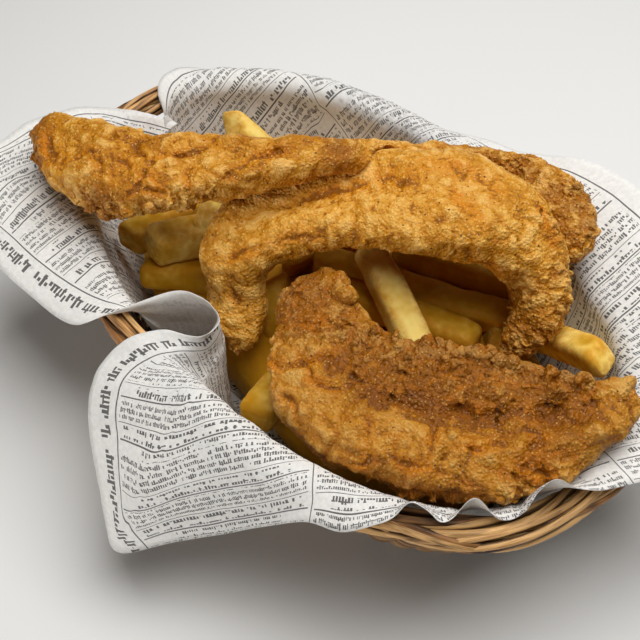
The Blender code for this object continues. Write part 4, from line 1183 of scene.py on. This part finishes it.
def batter_relief(piece, line, creases, crags, brown, ribbed, lumpy, seed):
    """Raises the crust into folds, bubbles and crags, cuts its creases, and keeps what its finish reads."""
    places, outs = mesh_places(piece.data)
    laid, middle = laid_along(places, line)
    warp = places + 1.6 * np.column_stack([wrinkles(places / 6.5, seed + k) for k in (1, 2, 3)])
    rough = np.clip(near_to(places, crags) * 1.15 + 0.3 * wrinkles(places / 15, seed + 4), 0.05, 1.0)
    # Broad folds along the strip, lobes and puckers, then knobs and flakes where it is craggy.
    fold = wrinkles(laid / (12.0, 8.0, 8.0), seed + 5)
    lobe = np.abs(wrinkles(warp / 10.5, seed + 15))
    pucker = np.abs(wrinkles(warp / 6.0, seed + 6))
    knob = domed(pebbles(warp / 3.4, seed + 7)[0], 0.7)
    flake = (1 - np.minimum(np.abs(wrinkles(warp / 3.1, seed + 14)) * 1.6, 1)) ** 2
    # Crumbs, fine puckers and single beads.
    crumb = domed(pebbles(warp / 1.8, seed + 8)[0], 0.62)
    fine = np.abs(wrinkles(warp / 1.6, seed + 9))
    bead, drawn = pebbles(places / 1.75, seed + 10)
    bead = domed(bead, 0.34) * (drawn > 0.35)
    rib = ribs(places, laid, middle, ribbed, seed + 11)
    push = (0.6 + 0.45 * lumpy) * fold + 1.2 * lumpy * (lobe - 0.3)
    push += (0.95 + 0.25 * lumpy + 0.6 * rough) * (pucker - 0.3)
    push += rough * (0.5 * knob + 0.85 * flake - 0.45) + (0.06 + 0.2 * rough) * (crumb - 0.3)
    push += (0.14 + 0.08 * lumpy + 0.25 * rough) * (fine - 0.3) + 0.36 * bead + rib
    crest = 0.5 * pucker + 0.2 * lumpy * lobe + rough * (0.2 * knob + 0.3 * flake)
    crest += 0.12 * crumb + 0.2 * fine + 0.35 * bead + 0.4 * rib
    seam = lumpy * seamed(lobe, 0.13)
    toast_and_shading = 0.26 * wrinkles(places / 14, seed + 12) + 0.16 * wrinkles(places / 5, seed + 13) + 0.2 * rough
    # The seams where lobes meet are painted darker and glowing: painted shade and painted glow.
    toast_and_shading += 0.25 * seam
    glow = np.maximum(0.42 * seamed(pucker, 0.16), 0.5 * seam)
    for path, wide, deep in creases:
        away, depth = from_crease(warp, path)
        depth *= np.clip(0.85 + 0.5 * fold, 0.4, 1.1)
        cut = deep * np.exp(-away / (1.2 * wide) ** 2) * depth
        push -= 1.1 * cut
        crest -= 0.25 * cut
        # A ridge has a negative depth. Along a narrow crease the colour is painted darker and glowing:
        # painted shade and painted glow. A ridge and a broad valley get neither.
        if deep > 0 and wide < 3:
            toast_and_shading += 0.08 * np.exp(-away / min(2.2 * wide, 5) ** 2) * depth
            glow = np.maximum(glow, np.exp(-away / min(2.8 * wide, 5) ** 2) * depth)
    # Each listed place is painted darker or paler: its frying, with painted shade and painted light.
    for *spot, more in brown:
        toast_and_shading += more * near_to(places, [spot])
    moved = places + outs * push[:, None]
    piece.data.vertices.foreach_set("co", (moved * MM).astype(np.float32).ravel())
    piece.data.update()
    crest = (crest - np.median(crest)) / (3.4 * crest.std()) + 0.5
    for label, values in (("crest", crest), ("toast_and_shading", toast_and_shading + 0.35), ("glow", glow)):
        keep(piece, label, np.clip(values, 0, 1))


# Fried batter: gold, painted paler where it stands up in beads and ridges as painted highlight, with painted
# shade and a painted orange glow in the creases and hollows, orange-brown on the crags, and ground pepper in
# it.
fried_batter, wanted, given = new_group(
    "fried batter",
    [("Tint", "Color", BACK_TINT), ("Toasting", "Float", 0.0)],
    [("Color", "Color"), ("Roughness", "Float"), ("Height", "Float")],
)
tree = fried_batter
place = add(tree, "ShaderNodeTexCoord").outputs["Object"]
crest, toast_and_shading, glow = (kept_value(tree, name) for name in ("crest", "toast_and_shading", "glow"))
skin = add(tree, "ShaderNodeGroup", {"Patch Size": 0.012, "Grain Size": 0.0008}, node_tree=fried_skin).outputs
# How toasted it looks, with the painted shade and painted light of the listed places and seams.
toasted = arithmetic(tree, "ADD", toast_and_shading, wanted["Toasting"])
for value, share in ((skin["Patches"], 0.7), (skin["Fine Patches"], 0.45), (crest, -0.3)):
    toasted = arithmetic(tree, "MULTIPLY_ADD", arithmetic(tree, "ADD", value, -0.5), share, toasted)
# Raised parts are painted paler: painted highlight, with less toasted places paler too.
paleness = arithmetic(tree, "MULTIPLY_ADD", crest, 0.55, product(tree, toasted, -0.75))
colour = mixed(tree, spread(tree, paleness, -0.35, 0.45), CRUST_GOLD, CRUST_PALE)
colour = mixed(tree, spread(tree, toasted, 0.3, 1.0, 0.0, 0.9), colour, CRUST_BROWN)
# Amber stains where oil soaked in, in random patches, and painted glow and painted shade in the creases and
# in the hollows.
stains = spread(tree, cloudy(tree, place, 130.0, 3.0, distortion=0.4), 0.48, 0.7, 0.0, 0.25)
stains = product(tree, stains, spread(tree, skin["Patches"], 0.44, 0.62, 0.15, 1.0))
glowing = product(tree, glow, spread(tree, skin["Fine Patches"], 0.34, 0.6, 0.5, 1.0))
painted_hollow_shade = spread(tree, arithmetic(tree, "MULTIPLY_ADD", skin["Grain"], 0.2, crest), 0.5, 0.1, 0.0, 0.35)
colour = mixed(tree, largest(tree, stains, glowing, painted_hollow_shade), colour, CRUST_AMBER_AND_GLOW)
# The deepest hollows are painted near black: painted shade.
colour = mixed(tree, spread(tree, crest, 0.26, 0.0, 0.0, 0.55), colour, CRUST_DEEP_AND_SHADE)
# Dark pores, then painted glints on the beads and painted highlights on the ridges.
bubbles = add(tree, "ShaderNodeTexVoronoi", {"Vector": place, "Scale": 1000.0}).outputs
beads = bubbles["Distance"]
bubble = add(tree, "ShaderNodeSeparateColor", {0: bubbles["Color"]}).outputs[0]
pores = product(tree, spread(tree, beads, 0.34, 0.1), spread(tree, bubble, 0.3, 0.1, 0.0, 0.6))
colour = mixed(tree, pores, colour, CRUST_DEEP_AND_SHADE)
painted_glints = product(tree, spread(tree, beads, 0.45, 0.15), spread(tree, bubble, 0.6, 0.85, 0.0, 0.6))
colour = mixed(tree, painted_glints, colour, CRUST_CREAM_HIGHLIGHT)
paler = spread(tree, arithmetic(tree, "MULTIPLY_ADD", toasted, -0.45, crest), 0.4, 0.9, 0.0, 0.4)
colour = vectors(tree, "MULTIPLY", mixed(tree, paler, colour, CRUST_CREAM_HIGHLIGHT), wanted["Tint"])
# Pepper: specks of several sizes, in every other cell.
dots = add(tree, "ShaderNodeTexVoronoi", {"Vector": place, "Scale": 380.0}).outputs
drawn = add(tree, "ShaderNodeSeparateColor", {0: dots["Color"]}).outputs
size = arithmetic(tree, "MULTIPLY_ADD", drawn[1], 0.09, 0.07)
speck = product(tree, is_under(tree, dots["Distance"], size), is_over(tree, drawn[0], 0.5), 0.8)
tree.links.new(mixed(tree, speck, colour, PEPPER), given["Color"])
tree.links.new(spread(tree, skin["Fine Patches"], 0.3, 0.7, 0.3, 0.5), given["Roughness"])
high = arithmetic(tree, "MULTIPLY_ADD", skin["Fine Patches"], 0.5, product(tree, skin["Grain"], 0.6))
tree.links.new(arithmetic(tree, "MULTIPLY_ADD", beads, -0.8, high), given["Height"])


def crust(name, toasting, tint):
    """A batter finish, more or less toasted, under its own tint."""
    look = {"Specular IOR Level": 0.26, "Subsurface Weight": 0.25, "Subsurface Scale": 0.0018}
    finish, tree, shader = surface(name, {**look, "Subsurface Radius": (1.0, 0.5, 0.16)})
    own = {"Tint": tint, "Toasting": toasting}
    batter = add(tree, "ShaderNodeGroup", own, node_tree=fried_batter).outputs
    tree.links.new(batter["Color"], shader.inputs["Base Color"])
    tree.links.new(batter["Roughness"], shader.inputs["Roughness"])
    bumped(tree, shader, batter["Height"], 0.9, 0.0008)
    return finish


def battered(node, name, slot, finish, seed, crumbs, lumps, crags, **relief):
    """A fillet over its own CAD solid: smoothed, given lumps and crumbs, and raised into a crust."""
    piece = bpy.data.objects.new(name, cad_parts[node].data.copy())
    bpy.context.scene.collection.objects.link(piece)
    changed(piece, "REMESH", mode="VOXEL", voxel_size=ROUGH_VOXEL * MM)
    changed(piece, "SMOOTH", factor=0.5, iterations=9)
    add_balls(piece, [(Vector(middle) * MM, radius, (1, 1, 1)) for *middle, radius in lumps], 2)
    for count, sizes in crumbs:
        add_crumbs(piece, count, sizes, crags, seed)
    changed(piece, "REMESH", mode="VOXEL", voxel_size=BATTER_VOXEL * MM)
    changed(piece, "SMOOTH", factor=0.5, iterations=2)
    batter_relief(piece, crags=crags, seed=seed * 20, **relief)
    piece.data.materials.clear()
    piece.data.materials.append(finish)
    piece.data.shade_smooth()
    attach(piece, "root")
    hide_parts(node)


back_crust = crust("crust of the back fillet", 0.04, BACK_TINT)
battered(
    "fillet_back", "back_fillet", "crust_back", back_crust, seed=1, lumpy=0.9,
    crumbs=BACK_CRUMBS, lumps=BACK_LUMPS, crags=BACK_CRAGS, line=BACK_LINE, creases=BACK_CREASES,
    brown=BACK_BROWN_AND_SHADING, ribbed=BACK_RIBBED,
)

# The arched fillet: the biggest one, bent into an arch as it fried, with a long groove down its back. One
# end stands on the fries, and the other end has craggy batter that drips back under it.

ARCH_TINT = (0.95, 0.92, 0.82, 1)
ARCH_CRUMBS = ((24, (0.9, 1.5)), (120, (0.5, 0.95)))
ARCH_LINE = (
    (-4, -43, 42, 202, 0), (-10, -39, 48, 211, 0), (-17, -34, 54, 210, 0), (-21, -31, 63, 202, -2),
    (-22, -25, 70, 192, -5), (-20, -16, 75, 180, -8), (-14, -5, 79, 171, -7), (-2, 8, 84, 157, -1),
    (13, 21, 88, 147, 3), (26, 33, 87, 141, 4), (40, 42, 82, 127, 6), (54, 42, 73, 98, 14),
    (63.2, 35, 65, 62, 13), (66.8, 27.4, 58, 49, 8), (66, 23, 53, 50, 8),
)
ARCH_CREASES = (
    (((-20, -36, 69), (-18, -32, 72), (-14, -29, 76), (-10, -25, 79), (-6, -21, 81), (-3, -17, 83),
      (1, -13, 84), (5, -9, 86)), 1.2, 1.5),
    (((-19, -13, 81), (-13, -3, 85), (-8, 2, 87), (-4, 7, 89), (-2, 12, 91), (2, 16, 93), (7, 18, 95),
      (13, 19, 96), (18, 20, 97)), 1.5, 1.3),
    (((39, 15, 88), (42, 19, 85), (45, 22, 82), (49, 26, 79), (52, 29, 73)), 1.4, 1.2),
    (((-14, -35, 69), (-14, -37, 62), (-10, -37, 57)), 1.0, 1.0),
    (((43, 51, 91), (48, 48, 89), (53, 45, 86), (58, 44, 83)), 1.0, 1.2),
    (((8, 21, 96), (14, 32, 97), (20, 36, 97), (26, 40, 95), (33, 40, 95), (40, 38, 93)), 1.8, 0.6),
    (((22, 25, 97), (27, 28, 96), (34, 27, 94), (40, 28, 91)), 1.6, 0.5),
)
ARCH_CRAGS = (
    (50, 26, 80, 4), (58, 31, 74, 7), (64, 44, 79, 7), (71, 37, 68, 8), (66, 24, 58, 10), (60, 30, 62, 10),
    (-5, -44, 42, 6), (52, 50, 84, 7),
)
# Paler places here are painted light on shaded parts, and darker ones are partly painted shade.
ARCH_BROWN_AND_SHADING = (
    (66, 22, 57, 11, 0.35), (58, 30, 62, 12, 0.4), (68, 40, 72, 12, 0.15), (20, 5, 76, 22, 0.25),
    (-5, -42, 46, 10, 0.15), (14, 22, 96, 12, -0.1), (24, 32, 98, 13, -0.15), (-2, -8, 88, 9, -0.2),
    (17, 7, 94, 9, -0.2), (-14, -20, 82, 9, -0.1), (-8, -41, 54, 10, -0.3), (-16, -39, 60, 9, -0.25),
)
ARCH_LUMPS = (
    (67, 20, 57, 2.8), (69, 23, 59, 2.4), (64, 18, 54, 2.5),
)
ARCH_RIBBED = (
    (22, 6, 90, 12, 0.45), (6, -6, 89, 11, 0.5), (44, 34, 88, 9, 0.4),
)

arch_crust = crust("crust of the arched fillet", 0.0, ARCH_TINT)
battered(
    "fillet_arch", "arched_fillet", "crust_arch", arch_crust, seed=2, lumpy=0.35,
    crumbs=ARCH_CRUMBS, lumps=ARCH_LUMPS, crags=ARCH_CRAGS, line=ARCH_LINE, creases=ARCH_CREASES,
    brown=ARCH_BROWN_AND_SHADING, ribbed=ARCH_RIBBED,
)

# The front fillet: a broad short one, folded along its middle, rough on the far half and smoother in front,
# with a ragged skirt of batter along its lower edge.

FRONT_TINT = (0.76, 0.70, 0.60, 1)
FRONT_CRUMBS = ((80, (0.9, 1.7)), (260, (0.5, 1.0)))
FRONT_LINE = (
    (6, -30, 63, 125, 10), (15, -32, 64, 119, 10), (27, -33, 65, 121, 10), (41, -35, 64, 125, 9),
    (54, -33, 64, 128, 8), (66, -26, 65, 130, 8), (78, -18, 66, 131, 7), (90, -9, 67, 130, 6),
    (99, 1, 69.5, 130, 6), (106, 12, 72.5, 128, 7), (112, 22, 73.5, 128, 8),
)
FRONT_CREASES = (
    (((33, -35, 75), (45, -35, 75), (58, -33, 75), (64, -30, 74), (70, -26, 74), (76, -20, 74),
      (83, -14, 74), (89, -7, 75), (94, 0, 74), (100, 6, 77), (106, 13, 78), (111, 20, 78)), 4.4, 2.6),
    (((45, -35, 74), (58, -33, 74), (70, -26, 73), (83, -14, 73), (94, 0, 73), (106, 13, 77)), 1.2, 1.2),
    (((32, -26, 75), (40, -23, 76), (47, -16, 75), (55, -11, 75), (62, -5, 75), (71, 0, 75), (78, 6, 73),
      (86, 9, 75), (95, 13, 77), (102, 18, 78), (108, 23, 78)), 3.0, -1.3),
    (((63, -44, 72), (64, -47, 71), (67, -49, 70), (68, -51, 68), (65, -54, 66), (61, -55, 65)), 0.9, 1.5),
    (((99, -26, 72), (100, -23, 72), (100, -18, 73), (100, -14, 74), (100, -10, 74)), 1.2, 1.7),
    (((96, -7, 74), (99, -10, 74), (99, -15, 74)), 1.0, 1.1),
    (((103, -21, 70), (104, -18, 71), (106, -15, 71), (106, -12, 72)), 2.0, 1.9),
    (((27, -46, 71), (31, -44, 72), (33, -41, 73), (35, -38, 74), (36, -35, 75), (34, -30, 75)), 1.0, 1.3),
    (((20, -48, 67), (24, -48, 69), (28, -47, 71)), 0.9, 1.2),
    (((27, -52, 67), (32, -54, 68), (38, -54, 67), (43, -55, 67), (44, -56, 66), (50, -56, 67),
      (54, -55, 68)), 0.9, 1.3),
    (((25, -40, 72), (30, -42, 73), (33, -43, 72), (38, -45, 72), (42, -45, 73), (45, -43, 73),
      (50, -46, 72)), 0.9, 1.2),
    (((60, -41, 73), (62, -44, 73), (63, -46, 72), (66, -47, 71)), 0.8, 1.1),
    (((72, -44, 71), (76, -44, 70), (80, -42, 70), (83, -39, 71), (87, -37, 70)), 1.0, 1.4),
    (((73, -29, 74), (77, -31, 74), (79, -35, 74), (82, -36, 72)), 0.9, 1.2),
    (((85, -31, 73), (87, -27, 74), (90, -25, 74), (91, -21, 74), (94, -19, 74)), 1.0, 1.4),
    (((86, -4, 75), (91, -5, 75), (93, -9, 74), (97, -9, 74)), 1.0, 1.3),
    (((18, -33, 73), (22, -31, 74), (23, -28, 75), (27, -27, 75)), 0.9, 1.2),
    (((56, -57, 61), (65, -54, 62), (69, -52, 61), (73, -50, 60), (78, -46, 59), (83, -45, 62),
      (89, -40, 63), (94, -36, 65), (99, -31, 67)), 1.4, 1.9),
)
FRONT_CRAGS = (
    (5, -26, 70, 10), (15, -20, 75, 9), (18, -33, 73, 10), (30, -27, 75, 9), (40, -27, 75, 8),
    (50, -19, 75, 9), (60, -10, 75, 9), (70, -3, 75, 9), (80, 4, 75, 9), (91, 8, 76, 8), (101, 11, 77, 6),
    (103, -21, 68, 8), (45, -31, 74, 7), (57, -25, 74, 8), (69, -17, 74, 8), (81, -8, 74, 8),
    (93, 1, 75, 7), (106, -14, 70, 8), (70, -54, 58, 7), (80, -48, 57, 7), (90, -42, 58, 7),
    (98, -34, 61, 7), (58, -60, 57, 6),
)
# The far half is painted darker: partly its frying, partly painted shade.
FRONT_BROWN_AND_SHADING = (
    (45, -24, 76, 14, 0.68), (60, -14, 76, 14, 0.68), (75, -2, 76, 14, 0.68), (92, 6, 76, 13, 0.52),
    (104, -18, 69, 7, 0.4), (80, -48, 57, 12, 0.4), (96, -36, 60, 10, 0.4), (14, -28, 72, 14, 0.55),
    (66, -40, 73, 10, -0.15), (85, -30, 73, 9, -0.15), (38, -48, 71, 11, -0.15), (24, -46, 69, 9, -0.1),
)
FRONT_LUMPS = (
    (23, -17, 76, 2.6), (32, -22, 75, 1.7), (39, -19, 76, 2.3), (44, -15, 75, 1.6), (53, -10, 75, 2.5),
    (59, -6, 75, 1.5), (68, -1, 76, 2.1), (76, 4, 76, 1.6), (87, 9, 77, 2.0), (95, 12, 78, 1.5),
)
FRONT_RIBBED = (
    (77, -39, 70, 14, 0.7), (88, -30, 72, 12, 0.6), (62, -38, 74, 12, 0.5), (44, -27, 76, 10, 1.2),
    (55, -20, 75, 10, 1.3), (66, -12, 75, 10, 1.3), (77, -5, 75, 10, 1.2), (90, 3, 76, 10, 1.0),
)

front_crust = crust("crust of the front fillet", 0.02, FRONT_TINT)
battered(
    "fillet_front", "front_fillet", "crust_front", front_crust, seed=3, lumpy=1.3,
    crumbs=FRONT_CRUMBS, lumps=FRONT_LUMPS, crags=FRONT_CRAGS, line=FRONT_LINE, creases=FRONT_CREASES,
    brown=FRONT_BROWN_AND_SHADING, ribbed=FRONT_RIBBED,
)

# Light and camera: a big soft window nearly overhead, a little behind the basket and to its right, a weak low
# fill from the front left, and the camera where it stood for the photograph.

CAMERA_AZIMUTH = math.radians(48.6)
CAMERA_ELEVATION = math.radians(52.0)
CAMERA_DISTANCE = 319.3
CAMERA_TARGET = Vector((13.8, -20.5, 58.0))
CAMERA_VIEW = math.radians(38.0)
# Each soft box: how far it stands behind the basket, to its right and above the table in metres, its side in
# metres, its watts and its colour.
SOFT_BOXES = (
    ("window", (0.1, 0.16, 0.75), 0.75, 8.0, (1.0, 0.99, 0.97)),
    ("room", (-0.6, -0.75, 0.12), 0.5, 4.8, (1.0, 0.98, 0.95)),
)
ROOM_WHITE = (1.0, 0.99, 0.98, 1)
ROOM_GLOW = 0.01

away = Vector((-math.sin(CAMERA_AZIMUTH), math.cos(CAMERA_AZIMUTH), 0))
right = Vector((math.cos(CAMERA_AZIMUTH), math.sin(CAMERA_AZIMUTH), 0))
up = Vector((0, 0, 1))
back = up * math.sin(CAMERA_ELEVATION) - away * math.cos(CAMERA_ELEVATION)


def placed(name, data, place, looking):
    """A camera or light at a place in metres, looking along a direction."""
    made = bpy.data.objects.new(name, data)
    made.location = place
    made.rotation_euler = looking.to_track_quat("-Z", "Y").to_euler()
    bpy.context.scene.collection.objects.link(made)
    return made


lens = bpy.data.cameras.new("camera")
lens.angle = CAMERA_VIEW
lens.clip_start = 0.01
bpy.context.scene.camera = placed("camera", lens, (CAMERA_TARGET + back * CAMERA_DISTANCE) * MM, -back)
for name, (behind, aside, above), side, watts, colour in SOFT_BOXES:
    light = bpy.data.lights.new(name, "AREA")
    light.shape = "SQUARE"
    light.size = side
    light.energy = watts
    light.color = colour
    place = away * behind + right * aside + up * above
    placed(name, light, place, CAMERA_TARGET * MM - place)
room = bpy.data.worlds.new("room")
room.use_nodes = True
background = room.node_tree.nodes["Background"].inputs
background["Color"].default_value = ROOM_WHITE
background["Strength"].default_value = ROOM_GLOW
bpy.context.scene.world = room
bpy.context.scene.view_settings.view_transform = "Standard"
